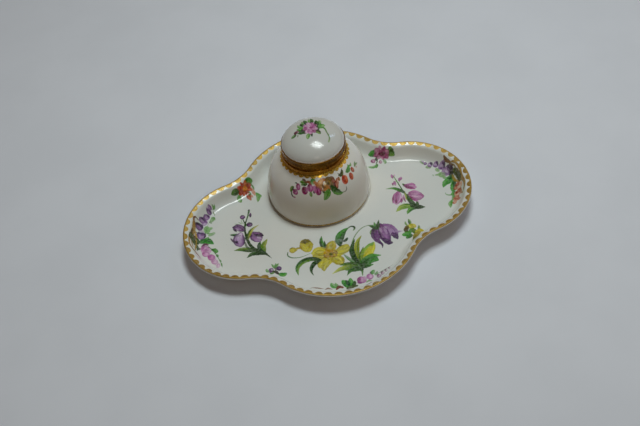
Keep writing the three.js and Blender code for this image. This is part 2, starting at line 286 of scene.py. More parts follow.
# ------------------------------------------------------------------ motifs on the tray (plan view, mm)
def leaf(c, pts, w, dark=DK_G, light=MD_G, a=0.94, M=None, vein=True, soft=0.2):
    """A two-sided leaf: dark on one side, lighter on the other, pointed tip."""
    prof = [0.25 * w, 0.8 * w, w, 0.92 * w, 0.6 * w, 0.08 * w]
    c.stroke(pts, prof, [dark, dark, light], a, soft, 0.35, side=[dark, light, light], edge=dark, edge_k=0.25, M=M)
    if vein:
        c.stroke(pts, [0.12, 0.16, 0.05], [dark], 0.45, 0.16, 0.2, M=M)


def blade(c, pts, prof, col, side=None, a=0.94, M=None, edge=None, edge_k=0.3, soft=0.2, streak=0.35):
    c.stroke(pts, prof, col, a, soft, streak, edge=edge, edge_k=edge_k, side=side, M=M)


def sprig_bells_left(c):
    """Upright sprig of violet bells."""
    c.stroke([(-49.6, 20.5), (-51.5, 15.5), (-54.3, 9.5), (-55.4, 3), (-55, -5), (-53, -11), (-48.4, -16)],
             [0.35, 0.45, 0.6, 0.75, 1.0, 1.1, 0.8], [MD_G, DK_G, DK_G, (66, 88, 50)], 0.9, 0.28)
    c.stroke([(-54.8, 15.8), (-54.4, 12.6), (-53.6, 9.6)], [0.3, 0.45, 0.4], [MD_G, DK_G], 0.85, 0.28); c.stroke([(-52.2, 14.0), (-50.8, 16.8), (-49.8, 20.6)], [0.35, 0.45, 0.3], [MD_G], 0.85, 0.28)
    c.stroke([(-54.3, 10), (-56, 13), (-55.2, 16)], [0.25, 0.3, 0.2], [PALE_G], 0.8)
    c.stroke([(-54.6, 8), (-52.3, 10)], [0.3, 0.3], [MD_G], 0.85)
    for p, q in (((-60.5, 12.5), (-57.5, 10.8)), ((-58, 13.2), (-56, 11))):
        c.stroke([p, q], [0.25, 0.5, 0.3], [PALE_G], 0.7)
    # buds at the top
    c.dot((-49.4, 21.2), 0.75, DK_P, 0.85); c.stroke([(-49.2, 20.6), (-50.4, 18.4)], [0.5, 0.7, 0.4], [MD_G, DK_G], 0.9)
    c.stroke([(-49.0, 18.2), (-49.6, 15.3)], [0.55, 0.9, 0.5], [MD_P, DK_P], 0.92, edge=DK_P, edge_k=0.4)
    c.dot((-54.6, 16.6), 1.7, MD_P, 0.9, edge=DK_P, edge_k=0.55); c.stroke([(-55.4, 16.4), (-53.8, 17.0)], [0.4, 0.5], [LT_P], 0.6)
    c.stroke([(-56.0, 17.4), (-55.0, 18.3), (-53.7, 18.0)], [0.25, 0.3, 0.2], [DK_P], 0.8)
    # right bud, dark
    c.dot((-51.4, 8.8), 2.0, (116, 78, 124), 0.95, edge=DK_P, edge_k=0.6); c.stroke([(-53.0, 9.8), (-51.5, 10.6), (-49.8, 9.8)], [0.3, 0.45, 0.3], [DK_P], 0.85)
    c.stroke([(-52.2, 8.4), (-50.6, 8.4)], [0.35, 0.5], [LT_P], 0.5)
    # upper left bell
    c.stroke([(-61.8, 9.8), (-58.6, 8.6), (-56.4, 5.4)], [1.0, 2.7, 2.6, 1.2], [MD_P, (160, 128, 168), MD_P], 0.93, 0.22, 0.4, edge=DK_P, edge_k=0.5)
    c.stroke([(-62.2, 8.4), (-60.6, 5.6)], [0.5, 0.7, 0.3], [DK_P], 0.85); c.stroke([(-61.8, 9.9), (-60.6, 10.6)], [0.4, 0.5], [DK_P], 0.8)
    c.stroke([(-59.6, 10.6), (-57.2, 8.2), (-56.2, 5.2)], [0.35, 0.6, 0.4], [DK_P, MD_P, DK_P], 0.7)
    c.stroke([(-60.6, 8.6), (-59.0, 6.0)], [0.35, 0.6, 0.3], [XL_P], 0.65)
    # dark leaf beside it
    leaf(c, [(-58.6, 1.6), (-61.5, 2.9), (-65.6, 4.6)], 1.2, (44, 66, 50), (96, 128, 96))
    # lower left bell
    c.stroke([(-58.6, 2.6), (-60.8, -1.0), (-60.4, -6.2)], [1.8, 3.4, 3.6, 1.6], [XL_P, LT_P, (168, 138, 176)], 0.92, 0.25, 0.4, edge=MD_P, edge_k=0.6)
    c.stroke([(-65.4, 1.2), (-64.0, -1.8), (-61.8, -4.2)], [0.4, 0.8, 0.7, 0.4], [(134, 112, 130), DK_P, MD_P], 0.85)
    c.dot((-62.3, -2.8), 1.05, (88, 62, 98), 0.85, soft=0.4)
    c.stroke([(-57.2, 1.4), (-57.0, -3.0), (-58.4, -6.8)], [0.4, 0.7, 0.5, 0.2], [MD_P, DK_P, MD_P], 0.8)
    c.stroke([(-59.6, 1.0), (-59.8, -3.8)], [0.4, 0.6, 0.3], [XL_P], 0.65)
    # right bell with its dark notch
    c.stroke([(-50.4, 0.8), (-49.2, -2.8), (-47.6, -6.2)], [1.4, 3.4, 3.3, 1.2], [MD_P, (160, 126, 166), LT_P], 0.94, 0.22, 0.4, edge=(120, 84, 128), edge_k=0.55)
    c.stroke([(-47.0, 1.0), (-45.6, -1.2), (-44.9, -3.0)], [0.3, 0.6, 0.6], [(146, 122, 140), DK_P], 0.85)
    c.stroke([(-49.8, -0.4), (-47.4, -2.0), (-44.9, -3.0)], [0.6, 0.9, 0.95, 0.5], [DK_P, (72, 44, 80), DK_P], 0.92)
    c.stroke([(-52.0, 0.2), (-52.6, -3.0), (-51.0, -6.2)], [0.5, 0.7, 0.5, 0.3], [DK_P, MD_P, DK_P], 0.85)
    c.stroke([(-48.6, -3.4), (-46.4, -5.0)], [0.6, 0.9, 0.5], [XL_P], 0.75)
    # leaves
    blade(c, [(-54.8, -2.5), (-53.2, 1.2), (-50.2, 4.6), (-45.8, 6.6)], [0.8, 1.5, 1.3, 0.8, 0.3], [(74, 98, 40), (112, 126, 46), (196, 200, 140)], side=[(140, 146, 60), (196, 196, 96), (214, 214, 170)])
    leaf(c, [(-50.4, -14.2), (-56, -11.6), (-60.5, -9.8), (-65.2, -9.2)], 1.9, (66, 92, 44), (136, 156, 92))
    leaf(c, [(-45.8, -18.6), (-50, -16.2), (-54.5, -15.6), (-58.4, -17.6)], 1.9, (52, 78, 46), (92, 120, 80))
    c.stroke([(-53.4, -11.2), (-50.4, -14.6), (-46.8, -17.6), (-45.0, -20.0), (-43.4, -22.8)], [1.0, 1.6, 1.5, 0.6, 0.12], [(58, 84, 44), (52, 76, 42), (60, 86, 50)], 0.93)
    leaf(c, [(-46.2, -17.0), (-48.6, -12.6), (-48.6, -9.6), (-47.4, -7.2)], 1.8, (44, 78, 46), (70, 104, 60))
    leaf(c, [(-46.0, -16.0), (-46.4, -11.5), (-44.6, -8.8), (-42.8, -6.6)], 1.7, (118, 140, 52), (190, 200, 96))
    c.stroke([(-57.0, -5.0), (-56.6, -9.0), (-54.0, -12.5)], [0.5, 0.8, 0.9, 0.6], [(88, 108, 80), (76, 96, 60)], 0.7)


def sprig_bells_right(c):
    """Upright sprig of pink bells."""
    c.stroke([(49.8, 19.6), (50.4, 15), (51.2, 9), (52.0, 3), (53.2, -4), (55, -10)],
             [0.3, 0.38, 0.46, 0.56, 1.1, 1.5], [LT_G, MD_G, MD_G, DK_G, (64, 94, 58)], 0.9, 0.28)
    c.stroke([(53.0, 14.2), (51.4, 12.4)], [0.2, 0.25], [LT_G], 0.85); c.stroke([(49.4, 13.4), (50.6, 14.6)], [0.25, 0.3], [LT_G], 0.8)
    c.stroke([(48.9, 20.6), (48.8, 17.8)], [0.5, 1.0, 0.7], [LT_K, MD_K], 0.85, edge=DK_K, edge_k=0.45)
    c.stroke([(50.9, 20.4), (50.4, 18.6)], [0.35, 0.6, 0.35], [XL_K], 0.8)
    c.stroke([(54.2, 16.2), (52.4, 14.2)], [0.7, 1.3, 0.8], [LT_K, MD_K], 0.88, edge=DK_K, edge_k=0.5)
    c.stroke([(48.9, 14.2), (48.6, 11.2)], [0.5, 1.0, 0.7], [MD_K, LT_K], 0.9, edge=DK_K, edge_k=0.6)
    c.stroke([(47.2, 13.2), (47.1, 11.2)], [0.35, 0.6, 0.4], [MD_K, DK_K], 0.85)
    # upper right bell
    c.stroke([(53.6, 10.2), (54.8, 7.6)], [0.5, 1.0, 0.7], [MD_G, DK_G], 0.9)
    c.stroke([(54.4, 8.6), (57.0, 6.8), (60.4, 5.0)], [0.9, 2.2, 2.4, 1.2], [(170, 100, 146), MD_K, LT_K], 0.93, 0.22, 0.4, edge=MD_K, edge_k=0.4)
    c.stroke([(55.0, 7.0), (57.4, 5.2), (59.8, 3.6)], [0.5, 0.85, 0.4], [DK_K, MD_K], 0.85)
    c.stroke([(56.4, 9.2), (59.6, 8.8), (61.0, 6.8)], [0.5, 0.6, 0.4], [LT_K, MD_K], 0.8)
    c.stroke([(57.2, 7.8), (60.0, 6.0)], [0.3, 0.55, 0.3], [XL_K], 0.7)
    # large right bell
    c.stroke([(54.6, -0.4), (57.4, -2.2), (61.6, -4.0)], [1.4, 3.4, 4.0, 2.0], [(176, 116, 156), LT_K, LT_K], 0.93, 0.25, 0.4, edge=MD_K, edge_k=0.4)
    c.stroke([(55.2, 1.6), (58.6, 1.8), (61.2, 0.2)], [0.6, 1.0, 0.6], [MD_K, LT_K], 0.85)
    c.stroke([(54.8, -2.6), (56.6, -5.2), (58.2, -8.2)], [0.8, 1.2, 0.5], [DK_K, MD_K, LT_K], 0.85)
    c.stroke([(60.4, -1.6), (62.6, -3.4), (62.4, -5.2)], [0.5, 0.8, 0.3], [MD_K, (170, 104, 150)], 0.85)
    c.stroke([(56.6, -1.6), (60.0, -4.2)], [0.4, 0.7, 0.3], [XL_K], 0.7)
    # lower left bell with dark streaks
    c.stroke([(48.4, 4.0), (46.6, 0.2), (44.6, -4.2)], [1.3, 3.0, 3.4, 1.6], [MD_K, LT_K, LT_K], 0.92, 0.25, 0.4, edge=MD_K, edge_k=0.35)
    c.stroke([(45.2, 3.2), (43.4, -0.4), (42.4, -3.8)], [0.35, 0.6, 0.3], [MD_K, DK_K, MD_K], 0.85)
    c.stroke([(47.6, 4.0), (46.0, 0.4), (44.6, -4.0)], [0.4, 0.75, 0.6], [(170, 96, 146), MD_K, DK_K], 0.88)
    c.stroke([(49.0, 3.0), (49.2, -0.8), (48.2, -4.2)], [0.5, 0.9, 0.6], [LT_K, XL_K, LT_K], 0.8)
    c.stroke([(48.8, -2.2), (47.6, -5.2)], [0.6, 0.8, 0.3], [DK_K, MD_K], 0.85)
    c.stroke([(51.0, 0.6), (50.4, -2.6), (50.6, -5.0)], [0.4, 0.8, 0.4], [LT_K, (150, 92, 120)], 0.8)
    # leaves
    blade(c, [(52.0, 3.2), (49.6, 6.0), (46.4, 8.6), (41.6, 9.6)], [1.0, 1.5, 1.2, 0.7, 0.12], [(58, 88, 58), (106, 146, 97), (164, 196, 146)], side=[(46, 78, 48), (90, 132, 80), (150, 186, 130)])
    blade(c, [(53.2, -5.6), (52.6, -2), (52.6, 2.6)], [0.9, 1.2, 0.9, 0.3], [(168, 174, 84), (176, 180, 92), (196, 198, 130)], side=[(110, 132, 60)])
    leaf(c, [(56.8, -12.0), (54.4, -8.0), (53.4, -3.6), (53.6, 0.6)], 1.7, (50, 78, 52), (72, 104, 64))
    leaf(c, [(54.6, -11.8), (50.4, -9.0), (46.6, -9.0), (42.2, -11.4)], 2.3, (128, 160, 78), (184, 204, 116))
    c.stroke([(52.8, -8.4), (49.6, -7.4), (47.0, -7.6)], [0.5, 0.7, 0.2], [(70, 104, 60), (110, 142, 80)], 0.8)
    leaf(c, [(56.0, -12.6), (52.6, -12.2), (50.2, -13.4), (48.2, -15.8)], 1.6, (72, 116, 66), (132, 176, 108))
    c.stroke([(53.6, -9.6), (56.2, -11.6), (58.0, -12.4), (61.2, -13.6)], [1.5, 2.2, 1.5, 0.15], [(56, 82, 58), (54, 80, 56), (92, 118, 90)], 0.93)
    leaf(c, [(55.2, -12.6), (57.0, -10.0), (57.6, -7.0)], 1.2, (54, 80, 56), (88, 116, 80))


def bouquet(c):
    """Yellow narcissus and a violet tulip on one spray."""
    # thin stem to the yellow buds
    c.stroke([(-32.6, -21.6), (-33.1, -24.2), (-30.6, -26.8), (-25, -27.9), (-18, -26.6)], [0.35, 0.5, 0.32, 0.26, 0.22], [(86, 110, 76), (110, 136, 96), (176, 196, 166)], 0.85)
    c.dot((-29.2, -20.9), 2.25, (206, 192, 70), 0.95, edge=(166, 150, 50), edge_k=0.6); c.stroke([(-30.4, -20.2), (-28.0, -21.6)], [0.5, 0.7, 0.4], [YEL_L], 0.7)
    c.stroke([(-30.8, -19.4), (-28.8, -18.8)], [0.3, 0.4, 0.3], [OLIVE], 0.6); c.stroke([(-27.4, -21.4), (-26.2, -20.4), (-24.6, -20.6)], [0.9, 0.8, 0.7], [(200, 186, 76), (182, 164, 60)], 0.9)
    c.stroke([(-20.3, -17.9), (-20.0, -22.4)], [3.5, 4.4, 3.2], [(188, 176, 62), (208, 198, 80)], 0.95, 0.3, 0.4, edge=(172, 156, 56), edge_k=0.4)
    c.stroke([(-22.6, -16.6), (-20.0, -15.6), (-17.4, -17.4)], [0.6, 1.2, 0.8], [(150, 140, 50), (140, 130, 50), (160, 150, 60)], 0.85); wash(c, (-19.8, -16.6), 3.2, 1.7, 0, (138, 126, 44), 0.75, 0.5)
    c.stroke([(-20.6, -15.8), (-20.4, -18.4)], [0.4, 0.9, 0.3], [(110, 102, 40)], 0.75)
    c.stroke([(-22.6, -19.4), (-21.2, -23.6)], [0.5, 1.0, 0.5], [YEL_L], 0.6); c.stroke([(-24.0, -18.6), (-23.6, -21.4)], [0.35, 0.5, 0.3], [OCH], 0.6)
    c.stroke([(-17.6, -20.0), (-15.8, -20.4)], [0.8, 1.0, 0.4], [(196, 184, 80)], 0.85); c.stroke([(-18.8, -19.4), (-18.2, -22.6)], [0.3, 0.6, 0.3], [YEL_D], 0.6)
    # leaf behind the flower
    leaf(c, [(-8.6, -28.0), (-10.2, -23.5), (-10.2, -19.5), (-9.0, -15.4)], 1.55, (46, 80, 28), (92, 142, 66))
    blade(c, [(-8.4, -27.0), (-8.6, -23.0), (-8.2, -20.0)], [0.5, 0.9, 0.7, 0.2], [(36, 66, 22), (54, 90, 40)])
    # narcissus petals
    wash(c, (-7.0, -31.2), 5.6, 4.8, 0, (206, 192, 78), 0.95, 0.35); wash(c, (-12.6, -33.6), 3.6, 2.6, 0, (204, 194, 84), 0.9, 0.4)
    for pts, w, c0, c1 in (
            ([(-9.5, -29.8), (-13.0, -27.0), (-16.6, -27.6)], [1.6, 3.4, 3.5, 2.0], (196, 180, 50), (212, 206, 96)),
            ([(-9.5, -31.5), (-13.6, -31.2), (-17.2, -29.6)], [1.4, 2.6, 2.4, 1.2], (190, 176, 56), (198, 188, 74)),
            ([(-8.0, -35.0), (-12.4, -36.6), (-15.4, -38.6)], [2.0, 3.6, 3.8, 1.8], (196, 184, 60), (214, 208, 98)),
            ([(-10.0, -37.0), (-13.2, -39.6), (-14.2, -42.6)], [1.2, 2.4, 2.0, 0.7], (204, 196, 82), (196, 190, 96)),
            ([(-5.5, -34.4), (-4.0, -37.0), (-2.2, -39.4)], [1.8, 3.6, 3.6, 2.0], (204, 192, 54), (214, 204, 82)),
            ([(-4.0, -33.0), (0.0, -31.0), (3.8, -28.6)], [1.8, 3.0, 3.4, 2.0], (204, 194, 66), (210, 202, 92)),
            ([(-2.0, -31.4), (2.6, -31.4), (5.4, -30.0)], [1.2, 2.0, 2.0, 1.0], (206, 198, 80), (216, 208, 104)),
            ([(-6.5, -29.2), (-5.6, -26.0), (-3.6, -22.8)], [1.8, 3.2, 3.2, 1.4], (192, 170, 34), (204, 194, 74))):
        c.stroke(pts, w, [c0, c1], 0.97, 0.22, 0.45, edge=(172, 158, 62), edge_k=0.35, light=(228, 220, 124), light_at=0.25)
    # folds and shadows in the petals
    for pts, w, k in (([(-15.8, -27.8), (-13.8, -30.2), (-11.2, -31.0)], [0.3, 0.7, 0.4], (168, 158, 60)),
                      ([(-9.4, -28.2), (-8.6, -25.4)], [0.4, 0.6, 0.2], OCH), ([(-8.2, -27.4), (-7.0, -24.4)], [0.4, 0.7, 0.2], (190, 160, 30)),
                      ([(-11.8, -34.6), (-13.6, -37.6)], [0.4, 0.7, 0.3], (182, 172, 70)), ([(-11.4, -39.0), (-12.6, -41.4)], [0.4, 0.7, 0.3], (178, 170, 76)),
                      ([(-7.6, -35.4), (-7.4, -38.6)], [0.5, 0.8, 0.2], (190, 176, 44)), ([(-4.4, -34.6), (-2.0, -36.6)], [0.3, 0.7, 0.3], (222, 214, 110)),
                      ([(-1.6, -29.6), (1.6, -28.0)], [0.4, 0.8, 0.3], (220, 212, 120)), ([(-2.2, -25.4), (-3.0, -28.0)], [0.4, 0.8, 0.3], (186, 160, 40)),
                      ([(-1.6, -24.2), (-2.0, -21.8)], [0.5, 0.8, 0.4], (166, 146, 50)), ([(1.8, -33.6), (4.4, -32.0)], [0.4, 0.8, 0.3], (190, 182, 76)),
                      ([(-16.6, -31.6), (-14.6, -33.4)], [0.5, 0.9, 0.4], (186, 174, 64)), ([(-16.8, -36.0), (-15.6, -39.4)], [0.4, 0.8, 0.3], (206, 200, 104)),
                      ([(-9.8, -33.2), (-9.2, -35.8)], [0.5, 0.8, 0.3], (170, 150, 46))):
        c.stroke(pts, w, [k], 0.6, 0.35, 0.3)
    # the cup
    c.stroke([(-10.4, -29.4), (-8.0, -28.6), (-5.4, -29.4)], [0.8, 1.4, 0.8], [(206, 164, 30), (196, 156, 24), (200, 160, 40)], 0.85, 0.3)
    c.dot((-7.4, -31.6), 2.5, (196, 166, 64), 0.8, 0.5, edge=(178, 132, 54), edge_k=0.6)
    c.stroke([(-11.0, -30.2), (-11.2, -32.0), (-10.4, -33.6)], [0.3, 0.5, 0.3], [(150, 104, 48)], 0.8)
    c.stroke([(-10.0, -30.6), (-9.8, -33.0)], [0.25, 0.45, 0.25], [(196, 150, 96)], 0.7)
    for pts in ([(-4.8, -29.4), (-3.2, -30.4), (-2.8, -32.4)], [(-5.4, -30.8), (-4.0, -31.6), (-3.8, -33.4)], [(-6.2, -33.8), (-4.8, -34.0), (-3.4, -33.6)]):
        c.stroke(pts, [0.22, 0.42, 0.2], [(142, 86, 46)], 0.75)
    c.dot((-6.9, -31.6), 1.15, (112, 112, 54), 0.9, 0.35); c.dot((-6.6, -31.2), 0.45, (150, 150, 84), 0.7, 0.25)
    c.stroke([(-8.6, -32.6), (-7.4, -33.6), (-6.0, -33.4)], [0.25, 0.4, 0.2], [(176, 130, 50)], 0.7)
    # curled leaf above
    blade(c, [(0.4, -26.2), (0.9, -22.6), (3.2, -18.4), (6.2, -15.8), (9.0, -14.6)], [1.2, 2.5, 3.0, 2.5, 1.5, 0.4], [(40, 84, 30), (70, 130, 46), (84, 140, 60)], side=[(30, 62, 22), (46, 94, 32), (76, 128, 54)], streak=0.4, soft=0.3)
    c.stroke([(8.6, -14.7), (10.8, -13.9), (12.6, -14.6), (12.8, -16.2), (11.2, -17.9)], [0.45, 0.5, 0.75, 0.7, 0.15], [(96, 124, 84), (60, 82, 56), (74, 98, 60), (150, 172, 110)], 0.9)
    leaf(c, [(3.4, -24.6), (5.2, -23.4), (6.8, -22.0)], 1.1, (48, 74, 44), (78, 104, 66))
    # long leaves at the left
    blade(c, [(-14.6, -34.0), (-18.0, -31.9), (-22.6, -31.2), (-26.8, -32.6), (-29.8, -36.0), (-30.3, -41.4)], [0.9, 1.6, 1.9, 1.9, 1.6, 1.1, 0.15],
          [(42, 74, 26), (112, 140, 44), (138, 166, 84), (150, 182, 110)], side=[(40, 68, 26), (44, 80, 30), (64, 106, 46), (110, 150, 80)], streak=0.4, soft=0.3)
    blade(c, [(-15.4, -34.4), (-18.8, -35.6), (-21.2, -38.4), (-21.9, -41.4), (-21.2, -44.4)], [0.9, 1.7, 1.5, 1.1, 0.6, 0.15],
          [(34, 62, 24), (40, 72, 34), (82, 118, 68)], side=[(40, 72, 26), (60, 102, 46), (96, 132, 80)], streak=0.5)
    # stems
    c.stroke([(7.6, -50), (5.9, -42), (5.7, -35), (7.8, -28), (11.2, -22.4), (16.2, -18.0), (20.4, -16.6), (24.6, -17.4)], [0.6, 0.5, 0.42, 0.42, 0.4, 0.38, 0.38, 0.4], [(70, 96, 60), (90, 122, 70), (150, 170, 136), (150, 168, 138)], 0.88)
    c.stroke([(8.2, -44), (8.4, -49), (7.4, -53.8)], [1.2, 0.9, 0.3], [(74, 102, 64), (90, 118, 76), (150, 172, 140)], 0.92)
    # tall leaves of the tulip
    blade(c, [(9.2, -41.8), (9.0, -36.2), (10.2, -30.8), (12.2, -26.6), (15.4, -23.2)], [0.8, 1.5, 1.8, 1.3, 0.15], [(146, 160, 40), (170, 178, 42), (186, 190, 84)], side=[(128, 146, 36), (160, 170, 44), (180, 184, 80)], streak=0.45)
    c.stroke([(9.4, -36.0), (11.0, -29.6), (14.0, -24.6)], [0.2, 0.34, 0.1], [(98, 120, 40)], 0.6)
    blade(c, [(8.2, -44.6), (6.2, -38.6), (6.4, -32.6), (8.4, -28.0), (10.6, -24.6)], [0.9, 1.7, 1.8, 1.2, 0.15], [(38, 72, 22), (44, 82, 26), (60, 96, 40)], side=[(30, 58, 22), (40, 74, 26), (52, 84, 36)], streak=0.5)
    blade(c, [(9.0, -45.6), (10.4, -39.6), (12.2, -35.6), (14.0, -32.4)], [0.9, 1.6, 1.3, 0.15], [(84, 104, 36), (100, 118, 38), (120, 134, 56)], side=[(66, 88, 40), (84, 106, 42)], streak=0.5)
    blade(c, [(10.8, -42.0), (14.2, -38.4), (17.6, -35.0), (21.0, -31.4)], [1.0, 3.0, 3.8, 3.0, 0.8], [(150, 166, 60), (150, 182, 84), (128, 172, 92)], side=[(208, 198, 52), (224, 216, 62), (200, 206, 84)], streak=0.35, soft=0.3)
    c.stroke([(12.4, -40.8), (15.8, -37.4), (18.4, -34.2)], [0.9, 2.3, 1.3], [(214, 204, 54), (224, 214, 60)], 0.88, 0.45); wash(c, (19.6, -32.2), 1.6, 1.2, 30, (140, 180, 98), 0.75, 0.5)
    c.stroke([(13.0, -41.2), (16.2, -38.6), (18.6, -36.0)], [0.6, 0.9, 0.3], [(226, 220, 84)], 0.6, 0.3)
    leaf(c, [(5.8, -43.8), (3.8, -40.4), (2.0, -37.0), (0.4, -33.6)], 1.1, (118, 148, 112), (160, 184, 154), a=0.85)
    # leaves at the foot of the spray
    wash(c, (14.6, -43.9), 6.2, 2.6, 0, (80, 134, 76), 0.9, 0.4); wash(c, (3.2, -45.4), 5.6, 2.4, 0, (104, 138, 68), 0.88, 0.45); wash(c, (4.0, -48.0), 4.2, 1.6, -12, (74, 118, 66), 0.85, 0.45); wash(c, (11.4, -47.2), 4.0, 1.8, 0, (68, 112, 66), 0.85, 0.4)
    blade(c, [(8.2, -46.6), (4.0, -43.6), (-0.6, -42.2), (-3.8, -41.6)], [1.0, 1.8, 1.6, 0.3], [(66, 92, 42), (84, 110, 46), (104, 130, 60)], side=[(60, 86, 40), (110, 132, 56)], streak=0.45)
    blade(c, [(6.6, -46.8), (1.6, -44.8), (-4.2, -44.8), (-10.2, -46.8)], [1.0, 1.9, 1.5, 0.12], [(96, 122, 56), (160, 174, 82), (206, 210, 128)], side=[(90, 118, 54), (176, 188, 92), (214, 216, 140)], streak=0.4)
    blade(c, [(8.0, -47.6), (4.4, -47.4), (1.2, -48.0), (-1.6, -50.8)], [1.0, 1.7, 1.3, 0.12], [(62, 90, 56), (84, 118, 66), (126, 164, 102)], side=[(56, 84, 50), (72, 106, 60)], streak=0.45)
    blade(c, [(8.6, -46.8), (12.6, -42.8), (16.8, -41.0), (22.4, -42.2)], [1.2, 2.2, 1.8, 0.4], [(58, 86, 52), (84, 130, 72), (126, 178, 110)], side=[(70, 100, 58), (66, 108, 62), (110, 164, 96)], streak=0.45)
    blade(c, [(8.8, -47.0), (13.2, -44.8), (17.0, -44.2), (19.8, -45.4)], [1.3, 2.3, 1.9, 0.6], [(72, 100, 62), (66, 104, 62), (106, 158, 92)], side=[(60, 90, 56), (96, 146, 82)], streak=0.45)
    blade(c, [(8.8, -47.6), (12.2, -47.4), (15.8, -47.6)], [1.2, 1.6, 1.1, 0.5], [(60, 88, 54), (74, 112, 66), (104, 148, 88)], streak=0.45)
    c.stroke([(7.6, -42.8), (8.0, -46.6), (8.6, -49.2)], [0.9, 1.3, 0.8], [(64, 90, 56)], 0.9)
    c.stroke([(6.6, -43.8), (8.2, -48.4)], [0.2, 0.35, 0.2], [(128, 156, 116)], 0.7)
    # tulip
    wash(c, (26.0, -25.0), 1.6, 5.0, 0, (136, 100, 144), 0.88, 0.4); wash(c, (33.4, -25.0), 1.4, 5.0, 0, (150, 114, 158), 0.88, 0.4)
    leaf(c, [(24.4, -20.4), (22.6, -22.0), (21.0, -24.4)], 1.2, (96, 130, 84), (146, 176, 120), a=0.85)
    c.stroke([(27.0, -18.4), (24.2, -22.0), (23.0, -26.6), (24.4, -31.4), (26.0, -34.4)], [0.8, 1.7, 2.0, 1.6, 0.6], [(104, 70, 92), (112, 76, 118), (132, 96, 140), (108, 70, 116)], 0.96, 0.2, 0.4, edge=(88, 54, 96), edge_k=0.6)
    c.stroke([(24.8, -23.6), (24.2, -27.4), (25.2, -31.0)], [0.3, 0.6, 0.3], [(150, 116, 158)], 0.7)
    c.stroke([(25.6, -33.2), (25.8, -35.0), (25.2, -37.2)], [0.7, 0.6, 0.15], [(98, 64, 112)], 0.92)
    c.stroke([(31.4, -19.2), (34.6, -22.0), (36.4, -26.6), (36.0, -30.4)], [0.9, 2.0, 2.2, 1.4], [(150, 112, 156), (160, 122, 166), (176, 146, 186), (140, 104, 150)], 0.96, 0.2, 0.4, edge=(138, 98, 148), edge_k=0.5)
    c.stroke([(32.6, -21.2), (33.8, -25.0), (33.4, -28.6)], [0.6, 1.3, 0.8], [(178, 148, 184), (192, 168, 200)], 0.85)
    c.stroke([(34.6, -28.4), (35.8, -30.6), (36.4, -33.0)], [1.2, 1.9, 0.5], [(120, 82, 128), (100, 64, 112), (104, 68, 118)], 0.95, edge=(78, 46, 90), edge_k=0.4)
    c.stroke([(37.0, -26.8), (38.6, -27.6), (41.4, -28.0)], [0.7, 0.9, 0.2], [(176, 150, 184), (206, 190, 212)], 0.8)
    c.stroke([(29.2, -18.8), (28.8, -23.8), (29.4, -28.8), (30.2, -34.6)], [1.6, 3.2, 3.8, 3.0, 1.4], [(134, 92, 134), (164, 126, 168), (158, 120, 164), (106, 68, 118)], 0.97, 0.2, 0.45, edge=(118, 80, 130), edge_k=0.55)
    c.stroke([(27.6, -20.0), (26.8, -25.0), (27.2, -30.4)], [0.4, 0.7, 0.4], [(92, 58, 98)], 0.8)
    c.stroke([(28.2, -21.2), (28.2, -24.6)], [0.5, 1.0, 0.5], [(206, 182, 208)], 0.75, 0.35)
    c.stroke([(30.8, -21.6), (31.2, -27.0)], [0.4, 1.0, 0.4], [(196, 172, 202)], 0.7, 0.35)
    c.stroke([(29.6, -22.4), (29.8, -28.0)], [0.3, 0.5, 0.3], [(138, 98, 146)], 0.6, 0.3)
    c.stroke([(32.4, -23.4), (32.6, -29.4), (31.4, -33.2)], [0.3, 0.5, 0.3], [(120, 84, 132)], 0.7)
    c.stroke([(27.8, -30.6), (29.8, -33.6), (31.6, -34.8)], [1.2, 2.0, 1.1], [(104, 66, 116), (96, 58, 110)], 0.9, 0.25)
    # calyx
    blade(c, [(26.2, -20.6), (24.0, -18.6), (22.0, -17.0)], [1.2, 1.3, 0.9, 0.15], [(60, 96, 56), (76, 108, 70)], side=[(74, 112, 66)])
    blade(c, [(26.0, -20.4), (26.0, -17.6), (26.2, -14.8)], [0.9, 1.1, 0.7, 0.1], [(80, 122, 72), (150, 182, 140)])
    blade(c, [(26.6, -21.0), (28.0, -17.8), (29.6, -14.2)], [1.0, 1.2, 0.8, 0.1], [(58, 86, 54), (84, 108, 78)], side=[(70, 102, 64)])
    c.stroke([(25.0, -19.4), (27.4, -20.2)], [0.8, 1.0, 0.6], [(62, 92, 54)], 0.85)


